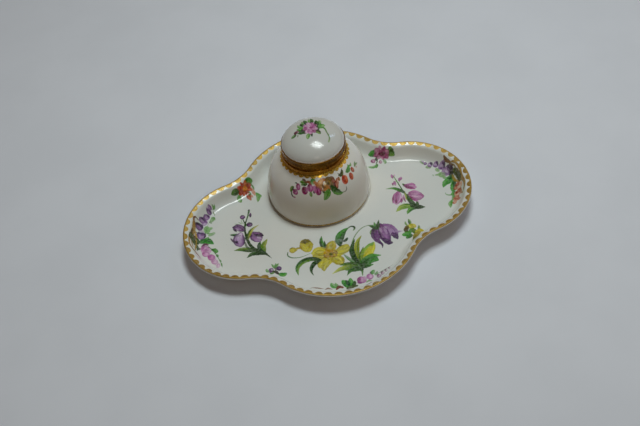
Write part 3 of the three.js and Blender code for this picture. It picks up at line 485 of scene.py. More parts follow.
def small_flowers(c):
    """Scattered single flowers on the floor and wall."""
    S = c.stroke
    # orange aster, back left, foreshortened up the wall
    p0 = np.array([-48.3, 37.9]); ax = np.array([math.cos(0.50), math.sin(0.50)]); ay = np.array([-ax[1], ax[0]]) * 0.56
    leaf(c, [(-52.4, 36.8), (-55.0, 35.8), (-58.2, 34.9)], 1.3, (60, 92, 36), (120, 150, 76)); leaf(c, [(-52.8, 34.6), (-53.6, 32.4), (-52.8, 29.4)], 1.6, (104, 146, 84), (158, 190, 134), a=0.85)
    leaf(c, [(-47.0, 40.6), (-44.6, 42.0), (-41.8, 43.2)], 1.4, (70, 120, 50), (130, 172, 96)); leaf(c, [(-43.4, 41.2), (-42.6, 39.4), (-42.4, 37.4)], 0.7, (110, 140, 90), (160, 184, 140), a=0.8)
    S([(-47.6, 35.6), (-47.0, 32.8), (-46.2, 29.6)], [0.9, 1.7, 0.5], [(176, 96, 64), (188, 110, 82), (206, 150, 126)], 0.9, 0.3, edge=(150, 70, 44), edge_k=0.4)
    S([(-44.2, 38.6), (-43.2, 35.8), (-42.8, 33.0)], [0.9, 1.3, 0.5], [(214, 150, 124), (222, 176, 154)], 0.85, 0.35); S([(-45.2, 34.0), (-44.6, 31.6)], [0.6, 0.9, 0.4], [(216, 164, 140)], 0.75, 0.35)
    leaf(c, [(-41.6, 35.0), (-40.8, 31.4), (-42.2, 26.2)], 1.5, (110, 160, 92), (160, 196, 136), a=0.88); leaf(c, [(-40.0, 33.0), (-39.2, 31.0), (-40.2, 29.4)], 0.8, (120, 166, 104), (166, 198, 144), a=0.8)
    wash(c, (-46.2, 35.4), 1.3, 1.7, 0, (110, 128, 70), 0.8, 0.45)
    for ang, L, col in ((8, 5.0, (186, 84, 40)), (52, 4.8, (204, 118, 56)), (100, 4.9, (176, 78, 36)), (146, 5.0, (190, 92, 42)), (188, 5.2, (164, 70, 34)), (230, 4.8, (200, 112, 70)), (272, 5.0, (178, 86, 44)), (318, 4.9, (190, 96, 48))):
        t = math.radians(ang); d = ax * math.cos(t) + ay * math.sin(t); n = np.hypot(*d)
        S([p0 + d * 0.8, p0 + d * L * 0.55, p0 + d * L * 0.92], [0.5, 0.75 + 0.45 * n, 0.5 + 0.35 * n], [col, tuple(min(255, int(v * 1.14)) for v in col)], 0.93, 0.26, 0.5, edge=(150, 62, 26), edge_k=0.45)
    wash(c, p0 + [0.2, 0.1], 1.9, 0.95, 28, (230, 160, 40), 0.95, 0.35); S([p0 + [-1.2, -1.2], p0 + [0.6, -0.7]], [0.25, 0.4, 0.2], [(176, 96, 30)], 0.7, 0.25); S([p0 + [1.4, 1.4], p0 + [3.0, 1.8]], [0.3, 0.5, 0.3], [(150, 60, 26)], 0.75, 0.25)
    # rose with its sprig, back right, foreshortened up the wall
    p0 = np.array([47.4, 38.6]); ax = np.array([math.cos(-0.50), math.sin(-0.50)]); ay = np.array([-ax[1], ax[0]]) * 0.5
    leaf(c, [(44.2, 40.6), (41.8, 41.4), (39.0, 42.6)], 1.5, (52, 116, 40), (104, 164, 78)); wash(c, (43.4, 37.4), 1.4, 1.2, 0, (70, 90, 60), 0.85, 0.4)
    leaf(c, [(51.2, 36.6), (53.4, 36.6), (55.8, 34.8)], 1.6, (74, 104, 44), (124, 156, 84)); leaf(c, [(52.0, 37.6), (53.6, 38.2), (54.8, 37.6)], 0.8, (100, 134, 72), (146, 174, 112), a=0.85)
    bell_at(c, (40.8, 36.8), 1.7, 1.8, 10, (176, 118, 148), (198, 150, 176), (146, 84, 120), (222, 192, 208), soft=0.35); bell_at(c, (45.4, 34.4), 1.2, 1.6, -10, (196, 150, 174), (212, 176, 194), (168, 116, 142), (228, 204, 214), a=0.85, soft=0.4)
    S([(43.8, 37.4), (43.4, 35.6), (42.0, 33.6)], [0.3, 0.45, 0.3], [(92, 110, 74)], 0.85, 0.3); leaf(c, [(42.8, 33.4), (41.8, 31.6), (40.8, 29.8)], 1.1, (84, 124, 68), (140, 176, 120), a=0.88)
    leaf(c, [(42.4, 32.6), (39.4, 31.4), (35.8, 33.0)], 1.3, (110, 156, 100), (168, 198, 152), a=0.82, soft=0.35); leaf(c, [(47.6, 35.2), (48.4, 33.4), (47.6, 31.6)], 1.1, (124, 164, 108), (174, 202, 154), a=0.82, soft=0.35)
    for k in range(8):
        t = k * math.pi / 4 + 0.35
        d = ax * math.cos(t) + ay * math.sin(t); n = np.hypot(*d)
        col = ((198, 136, 166), (170, 92, 132), (206, 158, 180))[k % 3]
        S([p0 + d * 0.8, p0 + d * 2.9, p0 + d * 4.7], [0.6, 0.6 + 0.8 * n, 0.4 + 0.6 * n], [col, tuple(min(255, int(v * 1.06)) for v in col)], 0.93, 0.28, 0.45, edge=(142, 66, 106), edge_k=0.4)
    wash(c, p0 + [0.0, 0.0], 2.6, 1.2, -28, (168, 84, 126), 0.85, 0.4); S([p0 + [-1.4, 0.6], p0 + [0.4, -0.4], p0 + [2.2, -1.0]], [0.4, 0.75, 0.4], [(118, 26, 62), (104, 18, 52)], 0.88, 0.25); S([p0 + [-3.2, 1.2], p0 + [-1.6, 1.6]], [0.3, 0.5, 0.3], [(222, 180, 200)], 0.7, 0.3)
    # violet sprig in the front left notch
    for pts, w in (([(-43.2, -31.4), (-43.8, -29.2), (-44.6, -27.2)], 0.9), ([(-42.8, -31.4), (-42.2, -29.2), (-41.8, -27.4)], 0.9), ([(-42.4, -31.0), (-41.2, -29.4), (-40.0, -28.0)], 0.9), ([(-47.4, -33.0), (-48.2, -31.6), (-48.4, -30.0)], 1.1)):
        leaf(c, pts, w, (120, 160, 108), (168, 198, 152), a=0.85, soft=0.35)
    bell_at(c, (-45.6, -31.8), 1.5, 1.7, 10, (150, 122, 158), (178, 154, 184), (110, 80, 120), (214, 198, 216), soft=0.34); wash(c, (-46.4, -33.2), 1.0, 1.0, 0, (112, 84, 120), 0.8, 0.4)
    bell_at(c, (-40.7, -32.2), 1.7, 1.8, 10, (104, 72, 116), (128, 94, 140), (80, 50, 92), (170, 142, 180), soft=0.32); wash(c, (-42.8, -32.0), 0.8, 1.4, 0, (128, 116, 120), 0.75, 0.45)
    S([(-44.6, -33.6), (-43.0, -34.4), (-41.9, -36.6)], [0.9, 1.2, 0.5], [(96, 104, 72), (74, 72, 56), (90, 84, 76)], 0.88, 0.3); leaf(c, [(-41.4, -36.4), (-39.4, -37.8), (-36.8, -37.2)], 1.7, (66, 134, 58), (120, 172, 100)); leaf(c, [(-47.0, -34.6), (-45.4, -34.8), (-44.2, -34.2)], 0.8, (90, 128, 76), (140, 170, 116), a=0.85)
    # yellow flowers in the front right notch
    leaf(c, [(45.4, -25.0), (45.0, -22.8), (45.2, -20.8)], 0.8, (130, 160, 104), (172, 196, 148), a=0.85, soft=0.35); leaf(c, [(47.2, -25.0), (47.8, -22.4), (47.6, -19.6)], 1.1, (74, 106, 62), (150, 178, 128), a=0.88, soft=0.3)
    wash(c, (47.8, -26.0), 3.0, 2.2, 0, (212, 204, 84), 0.93, 0.35); bell_at(c, (46.4, -25.8), 1.4, 1.5, 0, (206, 196, 72), (220, 212, 100), (176, 162, 58), (230, 224, 132)); bell_at(c, (49.4, -26.4), 1.5, 1.6, 10, (206, 196, 72), (216, 206, 92), (176, 162, 58), (230, 224, 132))
    S([(44.4, -25.6), (43.4, -28.0), (44.0, -30.4)], [0.9, 1.5, 0.9], [(132, 114, 62), (112, 100, 54), (96, 92, 50)], 0.9, 0.3); S([(45.6, -25.6), (45.0, -27.6)], [0.5, 0.8, 0.5], [(104, 104, 48)], 0.8, 0.3)
    leaf(c, [(45.8, -30.8), (42.8, -31.2), (39.8, -31.2)], 1.9, (72, 136, 70), (122, 176, 106)); leaf(c, [(46.0, -32.6), (44.0, -33.6), (41.4, -34.4)], 1.5, (56, 104, 52), (94, 142, 78)); wash(c, (46.6, -29.4), 1.8, 1.7, 0, (96, 134, 72), 0.88, 0.4)
    S([(48.0, -28.8), (48.2, -31.8)], [1.2, 1.6, 1.0], [(120, 136, 62), (104, 124, 50)], 0.88, 0.3); leaf(c, [(50.8, -31.0), (51.8, -29.0), (52.6, -26.6)], 0.9, (118, 140, 74), (164, 182, 110), a=0.88)
    S([(49.6, -31.6), (51.8, -31.2), (53.2, -32.0)], [1.3, 1.7, 0.9], [(206, 192, 62), (212, 198, 66)], 0.92, 0.3); S([(50.6, -32.6), (48.4, -34.0), (46.2, -36.6)], [1.3, 1.9, 1.0], [(182, 168, 46), (168, 154, 38), (176, 164, 60)], 0.92, 0.3, edge=(130, 122, 30), edge_k=0.35)
    S([(47.4, -34.4), (45.8, -36.8), (44.2, -38.6)], [0.4, 0.7, 0.25], [(110, 116, 44), (130, 136, 66)], 0.8, 0.3)


def garland(c, M, kind):
    """Swag at the wall: violet bells, a gilt-brown ribbon with leaves, then pink or red bells.
    Drawn with the rim to the right (+x), the violet bells up (+y)."""
    pk = {"pink": ((150, 92, 138), (186, 128, 172), (208, 162, 194)), "red": ((150, 74, 50), (190, 116, 86), (214, 160, 134)),
          "mauve": ((150, 92, 138), (186, 128, 172), (208, 162, 194))}[kind]
    S = lambda pts, w, col, **k: c.stroke(pts, w, col, M=M, **k)
    # green back of the violet chain
    for pts in ([(80.4, 10.0), (78.6, 10.6), (76.2, 10.0)], [(79.8, 14.0), (77.6, 14.4), (76.6, 12.8)], [(77.6, 18.6), (75.0, 19.4), (73.2, 17.4)], [(74.0, 23.4), (71.4, 24.8), (69.4, 26.4)],
                [(80.8, 8.0), (78.4, 7.6), (76.6, 6.0)], [(72.6, 26.0), (71.6, 23.2), (72.0, 21.4)], [(82.4, 7.0), (80.8, 5.6), (79.2, 5.6)]):
        leaf(c, pts, 1.05, (96, 138, 84), (158, 190, 142), M=M, a=0.85)
    S([(83.4, 6.4), (81.0, 11.8), (78.2, 16.8), (74.6, 21.0), (71.4, 25.4)], [0.3, 0.3, 0.28, 0.24, 0.16], [(96, 120, 84), (140, 156, 130)], a=0.75)
    # violet bells, small to large
    for (x, y), r in (((73.2, 23.4), 1.35), ((76.6, 20.8), 1.75), ((79.6, 18.8), 2.05), ((82.9, 15.6), 2.25)):
        S([(x - 0.9 * r / 2, y - 0.5 * r / 2), (x + 0.9 * r / 2, y + 0.5 * r / 2)], [r * 0.85, r, r * 0.8], [(170, 138, 176), (140, 102, 146)], edge=(112, 76, 120), edge_k=0.5)
        S([(x + 0.3 * r, y + 0.75 * r), (x + 0.85 * r, y + 0.1 * r), (x + 0.75 * r, y - 0.55 * r)], [0.26 * r, 0.36 * r, 0.2 * r], [(84, 52, 92)], a=0.88)
        S([(x - 0.5 * r, y + 0.1 * r), (x + 0.1 * r, y - 0.3 * r)], [0.2 * r, 0.3 * r], [(204, 184, 208)], a=0.6)
    S([(82.6, 11.4), (86.4, 9.6)], [2.6, 3.2, 2.3], [(180, 150, 186), (128, 90, 130)], edge=(104, 68, 110), edge_k=0.55)
    S([(86.0, 12.4), (87.4, 10.0), (86.8, 7.4)], [0.7, 1.1, 0.7], [(80, 46, 78)], a=0.85)
    S([(82.4, 12.4), (84.6, 9.4)], [0.5, 0.9, 0.4], [(208, 188, 212)], a=0.6); S([(84.6, 12.8), (86.2, 8.6)], [0.3, 0.5, 0.3], [(110, 72, 114)], a=0.7)
    # leaves in the middle
    for pts, w, d, l in (([(86.4, 4.6), (83.2, 4.0), (80.2, 1.8), (77.6, -1.6)], 1.9, (60, 110, 56), (108, 158, 90)), ([(86.6, 6.4), (83.6, 6.4), (81.4, 5.2)], 1.3, (56, 92, 50), (96, 142, 80)),
                         ([(86.6, 3.2), (85.4, -1.4), (83.4, -5.2), (82.2, -8.8)], 1.7, (64, 106, 56), (104, 152, 84)), ([(87.2, 5.8), (87.8, 8.4)], 1.0, (40, 40, 24), (60, 66, 36)),
                         ([(81.8, -9.0), (79.4, -8.0), (77.4, -6.8)], 0.9, (110, 148, 100), (160, 192, 148)), ([(81.6, -10.6), (79.6, -12.2), (79.2, -14.2)], 1.0, (110, 152, 100), (166, 196, 150)),
                         ([(79.2, -13.0), (77.2, -15.4), (76.0, -19.2)], 1.15, (106, 146, 96), (166, 196, 150)), ([(82.4, -7.6), (81.2, -9.6), (82.0, -11.6)], 1.2, (74, 120, 66), (112, 156, 92))):
        leaf(c, pts, w, d, l, M=M)
    # second chain
    for (x, y), r, k in (((86.2, -3.4), 2.3, 0), ((85.4, -6.4), 2.0, 1), ((85.2, -9.4), 2.0, 0), ((82.6, -12.2), 1.9, 1), ((80.6, -15.2), 1.6, 1), ((78.6, -17.4), 1.2, 2)):
        S([(x + 0.45 * r, y + 0.5 * r), (x - 0.45 * r, y - 0.6 * r)], [r * 0.75, r, r * 0.7], [pk[1], pk[min(2, k + 1)]], edge=pk[0], edge_k=0.5)
        S([(x + 0.1 * r, y + 0.8 * r), (x - 0.5 * r, y + 0.2 * r)], [0.24 * r, 0.34 * r, 0.2 * r], [pk[0]], a=0.8)
        S([(x + 0.3 * r, y), (x - 0.1 * r, y - 0.5 * r)], [0.2 * r, 0.3 * r], [tuple(min(255, v + 24) for v in pk[2])], a=0.6)
    # ribbon scroll along the rim side
    rb = [(98, 78, 34), (122, 100, 52), (104, 84, 40)]
    S([(85.2, 19.2), (85.8, 17.2), (87.0, 14.8), (88.4, 12.6)], [0.35, 0.75, 0.6, 0.35], [BRN, (134, 112, 74)], a=0.85)
    S([(86.6, 12.6), (88.6, 12.4), (90.4, 9.8), (91.2, 6.0), (91.0, 2.6), (89.8, -0.4), (90.6, -3.4), (90.2, -7.4), (88.2, -11.0)], [0.25, 0.5, 0.42, 0.5, 0.4, 0.55, 0.38, 0.5, 0.2], rb, a=0.88)
    S([(87.2, 12.2), (89.4, 9.6), (89.6, 6.2), (88.4, 3.2)], [0.2, 0.3, 0.3, 0.2], [(140, 116, 64)], a=0.75)
    S([(86.6, 6.2), (86.6, 3.0), (88.2, -0.4), (89.4, -2.4)], [0.35, 0.6, 0.6, 0.3], [(140, 122, 62), (150, 126, 60), BRN], a=0.85)
    S([(88.8, -1.4), (87.4, -4.0), (85.8, -5.0)], [0.4, 0.6, 0.3], [(120, 78, 36), BRN], a=0.8); S([(88.6, -7.0), (87.4, -10.0), (86.2, -13.4)], [0.25, 0.4, 0.15], [(160, 134, 96)], a=0.7)
    # dark heart of the scroll
    S([(88.2, 6.2), (88.9, 3.2), (89.2, 0.2), (89.0, -1.6)], [0.8, 1.5, 1.3, 0.4], [(42, 50, 24), (30, 36, 16), (48, 54, 26)], a=0.93)
    S([(87.4, 9.0), (87.8, 5.4)], [0.4, 0.8, 0.4], [(66, 78, 44)], a=0.85); S([(88.4, 4.4), (88.8, 1.4)], [0.2, 0.35, 0.15], [(120, 112, 56)], a=0.7)


def bell_at(c, at, hw, hh, turn, lo, hi, rim, pale, M=None, a=0.93, soft=0.26, fold=1.0):
    """A small bell: rounded body half-size hw x hh, darker at the rim, a dark fold and a pale gleam. turn 0 hangs down -y."""
    t = math.radians(turn); u = np.array([math.sin(t), -math.cos(t)]); v = np.array([math.cos(t), math.sin(t)])
    p = np.asarray(at, float)
    if hh >= hw:
        w, e = hw, u * max(hh - hw * 0.85, 0.05)
    else:
        w, e = hh, v * max(hw - hh * 0.85, 0.05)
    c.stroke([p - e, p, p + e], [0.78 * w, w, 0.9 * w], [lo, hi, hi], a, soft, 0.3, edge=rim, edge_k=0.26, M=M)
    c.stroke([p - u * hh * 0.7 - v * hw * 0.4, p - u * hh * 0.1 - v * hw * 0.5, p + u * hh * 0.55 - v * hw * 0.35], [0.18 * hw, 0.34 * hw, 0.14 * hw], [rim], 0.62 * fold, soft * 1.3, M=M)
    c.stroke([p - u * hh * 0.35 + v * hw * 0.12, p + u * hh * 0.45 + v * hw * 0.3], [0.16 * hw, 0.3 * hw, 0.12 * hw], [pale], 0.55, soft, M=M)
    c.stroke([p + u * hh * 0.55 + v * hw * 0.5, p + u * hh * 0.85 + v * hw * 0.05], [0.12 * hw, 0.22 * hw], [rim], 0.55 * fold, soft * 0.8, M=M)


def wash(c, at, rx, ry, turn, col, a=0.8, soft=0.6, M=None):
    """A soft dab of colour."""
    t = math.radians(turn); d = np.array([math.cos(t), math.sin(t)]); p = np.asarray(at, float)
    if ry > rx:
        rx, ry, d = ry, rx, np.array([-d[1], d[0]])
    e = d * max(rx - ry, 0.02)
    c.stroke([p - e, p, p + e], [0.85 * ry, ry, 0.85 * ry], [col], a, soft, 0.35, M=M)


def garland_left(c):
    S = c.stroke
    # soft greens beside the violet chain
    for at, rx, ry, t, col in (((-71.6, 29.2), 0.7, 1.3, 20, (150, 172, 134)), ((-73.2, 21.8), 1.2, 1.6, -10, (140, 176, 126)), ((-72.2, 25.4), 0.4, 1.6, 10, (150, 168, 136)),
                              ((-79.0, 14.6), 1.9, 2.4, 10, (150, 190, 134)), ((-78.6, 12.2), 1.7, 1.2, 0, (120, 170, 100)), ((-76.2, 14.0), 1.2, 1.2, 0, (170, 200, 158)),
                              ((-77.4, 8.6), 2.0, 0.9, 20, (180, 206, 168)), ((-75.6, 19.0), 0.8, 1.4, 30, (168, 186, 158))):
        wash(c, at, rx, ry, t, col, 0.85, 0.5)
    for pts, w in (([(-72.4, 28.0), (-71.0, 29.0), (-70.4, 30.8)], 0.6), ([(-74.6, 22.8), (-73.0, 21.6), (-72.4, 19.8)], 0.8), ([(-79.8, 15.8), (-78.6, 14.0), (-78.8, 12.0)], 1.0), ([(-79.6, 12.8), (-77.6, 12.8), (-75.8, 14.2)], 0.7),
                   ([(-79.6, 10.2), (-77.6, 9.6), (-75.6, 9.2)], 0.6)):
        leaf(c, pts, w, (104, 152, 88), (150, 190, 132), a=0.8, soft=0.35)
    S([(-71.4, 30.6), (-72.4, 26.6), (-74.4, 22.4), (-77.4, 18.0), (-79.6, 13.6), (-81.0, 8.0)], [0.12, 0.18, 0.2, 0.24, 0.3, 0.3], [(150, 160, 140), (120, 150, 104), (96, 136, 84)], 0.6, 0.3)
    wash(c, (-83.0, 12.6), 1.8, 2.4, 0, (196, 178, 200), 0.7, 0.6); wash(c, (-78.4, 21.6), 2.6, 1.3, 40, (190, 168, 196), 0.7, 0.6); wash(c, (-75.0, 27.2), 1.5, 1.6, 30, (200, 180, 206), 0.65, 0.6)
    wash(c, (-79.0, 13.4), 2.3, 3.4, 0, (154, 196, 138), 0.8, 0.5); wash(c, (-76.4, 8.8), 2.6, 1.4, 15, (176, 208, 164), 0.75, 0.55); wash(c, (-74.2, 20.8), 1.6, 2.2, -20, (158, 188, 142), 0.75, 0.55); wash(c, (-76.6, -5.4), 1.5, 2.6, 20, (118, 166, 104), 0.8, 0.5)
    P1 = ((136, 100, 148), (168, 136, 176), (104, 70, 118), (204, 184, 212)); PD = ((104, 68, 118), (142, 106, 152), (80, 50, 94), (176, 148, 186))
    for at, hw, hh, t, k in (((-73.8, 28.6), 0.95, 1.0, 210, P1), ((-75.0, 26.2), 1.35, 1.3, 215, PD), ((-77.2, 23.2), 1.9, 1.35, 215, P1), ((-79.4, 19.2), 1.9, 1.3, 220, (P1[1], P1[3], P1[0], P1[3])),
                             ((-80.4, 20.8), 2.0, 1.3, 222, P1), ((-83.2, 16.2), 2.35, 1.7, 225, PD), ((-83.2, 9.4), 2.65, 2.3, 250, P1)):
        bell_at(c, at, hw * 1.17, hh * 1.25, t, *k, a=0.9, soft=0.42, fold=0.75)
    S([(-85.6, 11.4), (-84.2, 11.8), (-82.6, 11.4)], [0.4, 0.6, 0.4], [(84, 56, 96)], 0.8); S([(-81.2, 10.6), (-81.0, 8.8), (-81.8, 7.6)], [0.3, 0.6, 0.3], [(70, 42, 84)], 0.8)
    S([(-80.8, 21.8), (-79.6, 21.4)], [0.4, 0.6], [(84, 56, 96)], 0.7); S([(-84.6, 17.4), (-83.4, 17.8)], [0.5, 0.8], [(60, 34, 72)], 0.85)
    # large leaf, its soft back and the dark heart
    wash(c, (-83.6, 4.4), 2.4, 1.6, 10, (86, 120, 78), 0.85); wash(c, (-79.8, 3.6), 2.6, 2.4, -20, (96, 156, 92), 0.75, 0.55)
    leaf(c, [(-85.6, 4.8), (-82.4, 4.8), (-79.6, 3.8), (-76.8, 0.2)], 2.3, (38, 110, 50), (84, 154, 78)); leaf(c, [(-81.6, 5.4), (-80.2, 6.4), (-78.6, 7.0)], 0.9, (96, 156, 90), (140, 186, 126), a=0.85)
    S([(-82.8, 4.0), (-79.8, 3.4), (-77.6, 1.2)], [0.2, 0.35, 0.12], [(26, 84, 38)], 0.7)
    # gilt-brown ribbon
    rb = [(168, 136, 62), (190, 158, 78), (172, 140, 66)]
    S([(-83.0, 20.0), (-84.2, 20.8), (-85.4, 19.8), (-85.6, 18.0)], [0.3, 0.55, 0.6, 0.4], [(140, 106, 60), (128, 90, 40)], 0.85, 0.3)
    S([(-85.4, 19.2), (-86.0, 16.4), (-86.9, 13.2), (-88.0, 10.2), (-89.2, 7.4)], [0.45, 0.8, 0.85, 0.9, 0.6], rb, 0.9, 0.25, edge=(112, 82, 32), edge_k=0.35)
    S([(-87.8, 12.4), (-88.8, 9.2), (-89.9, 5.4)], [0.3, 0.6, 0.4], [(120, 92, 32), (90, 76, 28)], 0.85)
    S([(-86.2, 12.0), (-86.6, 9.0), (-86.6, 5.6), (-87.4, 2.4), (-88.4, -1.2), (-88.8, -4.4)], [0.35, 0.6, 0.7, 0.65, 0.5, 0.25], [(200, 166, 86), (206, 174, 94), (174, 144, 74)], 0.88)
    S([(-90.2, 6.8), (-91.0, 3.0), (-91.2, -0.8), (-90.4, -3.6), (-88.9, -6.4), (-87.4, -9.0), (-86.7, -11.6)], [0.4, 0.6, 0.5, 0.5, 0.5, 0.36, 0.14], [(168, 138, 66), (186, 154, 80), (162, 134, 80), (158, 140, 104)], 0.88)
    S([(-89.6, 5.0), (-89.8, 1.2), (-89.6, -2.4)], [0.3, 0.5, 0.3], [(184, 150, 80)], 0.7)
    S([(-89.0, 8.2), (-89.2, 6.2), (-88.8, 4.0), (-88.6, 1.0)], [1.0, 1.6, 1.2, 0.5], [(100, 108, 30), (86, 96, 24), (110, 116, 40)], 0.93)
    S([(-87.4, 8.2), (-87.6, 6.0)], [0.5, 0.8, 0.4], [(120, 100, 36)], 0.85); S([(-86.2, 7.0), (-86.0, 4.6), (-86.8, 2.8)], [0.6, 1.0, 0.6], [(70, 96, 44), (56, 86, 42)], 0.88)
    S([(-87.2, 1.4), (-87.2, -1.4), (-87.8, -3.4)], [0.5, 0.8, 0.3], [(84, 104, 60), (70, 96, 60)], 0.85); S([(-86.0, -0.6), (-86.4, -2.4)], [0.4, 0.6, 0.2], [(110, 96, 110)], 0.7)
    # pink chain
    wash(c, (-82.9, -3.2), 3.0, 4.2, 0, (222, 180, 212), 0.85, 0.6); wash(c, (-80.0, -10.4), 2.3, 3.6, 25, (224, 188, 214), 0.8, 0.6); wash(c, (-78.0, -15.6), 1.6, 2.6, 25, (228, 198, 218), 0.7, 0.6)
    K1 = ((196, 126, 174), (218, 166, 206), (176, 98, 152), (236, 204, 226)); KD = ((184, 98, 160), (204, 136, 188), (156, 76, 132), (224, 176, 208)); KP = ((206, 150, 190), (224, 184, 214), (190, 128, 172), (238, 214, 230))
    for at, hw, hh, t, k in (((-83.0, -1.6), 2.4, 2.0, 330, K1), ((-81.8, -4.0), 2.3, 1.7, 325, KP), ((-83.2, -6.2), 2.1, 1.9, 320, K1), ((-80.2, -9.8), 2.1, 1.9, 325, KD), ((-78.9, -14.0), 1.9, 1.7, 330, KP), ((-77.0, -18.0), 1.1, 1.6, 340, (KP[1], KP[3], KP[0], KP[3]))):
        bell_at(c, at, hw * 1.2, hh * 1.2, t, *k, a=0.88, soft=0.42, fold=0.5)
    S([(-84.4, 0.8), (-82.4, 1.9), (-80.6, 0.8)], [0.6, 1.0, 0.6], [(150, 84, 130), (132, 70, 112), (150, 96, 124)], 0.88, 0.3); S([(-82.6, -3.4), (-81.0, -3.8)], [0.3, 0.5, 0.3], [(196, 126, 176)], 0.6)
    for at, rx, ry, t, col in (((-78.0, -4.2), 1.5, 1.0, -40, (84, 128, 74)), ((-76.2, -6.0), 1.2, 1.3, 0, (110, 160, 98)), ((-76.2, -9.8), 0.9, 1.4, 10, (104, 148, 92)), ((-75.0, -14.6), 0.6, 1.2, 10, (140, 172, 130)), ((-74.8, -17.8), 0.55, 1.6, 0, (128, 164, 118))):
        wash(c, at, rx, ry, t, col, 0.85, 0.45)
    S([(-80.4, -0.8), (-78.6, -3.8), (-77.0, -8.0), (-75.8, -12.2), (-75.0, -16.4), (-74.6, -20.4)], [0.3, 0.35, 0.3, 0.28, 0.24, 0.12], [(96, 110, 84), (84, 124, 76), (130, 160, 120)], 0.8, 0.3)


def garland_right(c):
    S = c.stroke
    # soft greens beside the violet chain
    for at, rx, ry, t, col in (((72.0, 24.4), 0.5, 1.8, 15, (160, 182, 146)), ((73.6, 19.2), 1.2, 1.4, 0, (170, 196, 152)), ((75.2, 18.6), 0.9, 0.9, 0, (140, 168, 120)), ((79.0, 15.0), 1.2, 1.8, 10, (164, 190, 150)),
                              ((79.8, 10.4), 1.5, 2.0, 10, (160, 194, 144)), ((77.4, 10.8), 1.5, 0.7, 0, (176, 200, 164)), ((81.4, 6.6), 1.4, 1.6, 20, (150, 190, 136)), ((75.0, 11.0), 0.5, 1.0, 0, (180, 200, 170))):
        wash(c, at, rx, ry, t, col, 0.85, 0.5)
    for pts, w in (([(75.4, 20.0), (74.0, 19.2), (72.6, 19.6)], 0.7), ([(79.6, 15.6), (79.0, 14.0), (80.2, 13.2)], 0.6), ([(81.0, 12.0), (79.0, 10.6), (76.4, 10.6)], 0.9), ([(82.2, 9.6), (80.2, 8.6), (78.4, 9.0)], 0.8), ([(72.4, 22.6), (71.6, 24.6), (70.8, 26.2)], 0.5)):
        leaf(c, pts, w, (104, 148, 88), (158, 192, 140), a=0.8, soft=0.35)
    wash(c, (79.2, 14.6), 1.6, 2.2, 10, (172, 198, 158), 0.75, 0.55); wash(c, (74.6, 19.4), 2.0, 1.5, -30, (168, 192, 154), 0.75, 0.55); wash(c, (71.4, 24.6), 0.9, 2.0, 20, (170, 192, 158), 0.7, 0.55)
    P1 = ((136, 102, 148), (174, 142, 182), (104, 72, 118), (208, 190, 216)); PL = ((168, 138, 178), (192, 166, 200), (128, 96, 140), (220, 206, 226))
    bell_at(c, (72.4, 25.0), 0.7, 0.9, 60, *PL, a=0.7); bell_at(c, (73.4, 22.8), 1.3, 1.2, 60, *P1)
    bell_at(c, (75.9, 20.6), 2.1, 1.7, 62, *PL); wash(c, (77.2, 21.2), 0.9, 1.3, 20, (70, 42, 82), 0.85, 0.35)
    bell_at(c, (79.4, 19.0), 2.1, 1.9, 62, *PL); wash(c, (80.8, 19.4), 0.6, 1.3, 10, (96, 62, 108), 0.8, 0.35)
    bell_at(c, (82.6, 16.0), 2.5, 2.3, 62, *PL); S([(83.6, 17.4), (84.4, 15.8), (83.8, 14.2)], [0.4, 0.75, 0.5], [(104, 68, 112), (84, 50, 94)], 0.85, 0.3); wash(c, (82.0, 14.8), 0.7, 0.6, 30, (132, 98, 142), 0.6, 0.4)
    bell_at(c, (84.2, 10.8), 3.3, 3.4, 65, *PL); S([(85.8, 13.2), (87.2, 11.0), (86.8, 8.6), (85.4, 7.4)], [0.6, 1.1, 1.3, 0.7], [(104, 68, 108), (76, 44, 78), (84, 54, 84)], 0.9, 0.3)
    S([(84.2, 13.4), (82.8, 11.0), (83.2, 8.6)], [0.3, 0.5, 0.3], [(140, 106, 150)], 0.6, 0.3); S([(83.6, 12.4), (84.6, 9.6)], [0.4, 0.7, 0.3], [(214, 196, 218)], 0.6, 0.3); S([(85.2, 12.4), (85.8, 9.4)], [0.25, 0.45, 0.2], [(110, 74, 116)], 0.7, 0.3)
    # leaves in the middle
    wash(c, (82.4, 2.6), 3.4, 2.4, 28, (112, 170, 108), 0.8, 0.55); wash(c, (84.2, -3.6), 2.0, 3.6, -22, (96, 150, 86), 0.75, 0.55); wash(c, (80.6, 9.6), 2.6, 2.6, 10, (166, 198, 150), 0.7, 0.6)
    leaf(c, [(86.8, 4.8), (84.0, 3.8), (80.6, 2.2), (77.6, -1.4)], 2.2, (56, 124, 62), (112, 172, 98)); leaf(c, [(86.4, 6.4), (84.2, 5.6), (82.4, 5.8)], 1.3, (44, 96, 54), (84, 140, 78)); wash(c, (84.6, 4.6), 1.6, 0.9, 10, (34, 88, 50), 0.75, 0.4)
    leaf(c, [(86.6, 2.6), (85.0, -0.8), (83.2, -4.4), (82.2, -8.2)], 1.9, (50, 106, 52), (96, 158, 84)); S([(85.6, 0.8), (84.4, -2.4)], [0.4, 0.8, 0.3], [(28, 78, 38)], 0.7, 0.3)
    leaf(c, [(83.4, -7.0), (81.8, -9.0), (80.4, -9.6)], 1.4, (54, 110, 56), (100, 156, 86)); S([(81.2, -9.2), (78.8, -8.8), (77.4, -7.4), (77.6, -6.2)], [0.7, 0.6, 0.5, 0.25], [(120, 164, 108), (170, 198, 156)], 0.8, 0.35)
    leaf(c, [(82.2, -9.6), (80.8, -12.4), (79.2, -14.4)], 1.2, (96, 146, 84), (150, 188, 130), a=0.85); leaf(c, [(79.4, -13.6), (77.4, -16.2), (76.4, -19.6)], 1.4, (110, 158, 92), (164, 200, 144), a=0.88)
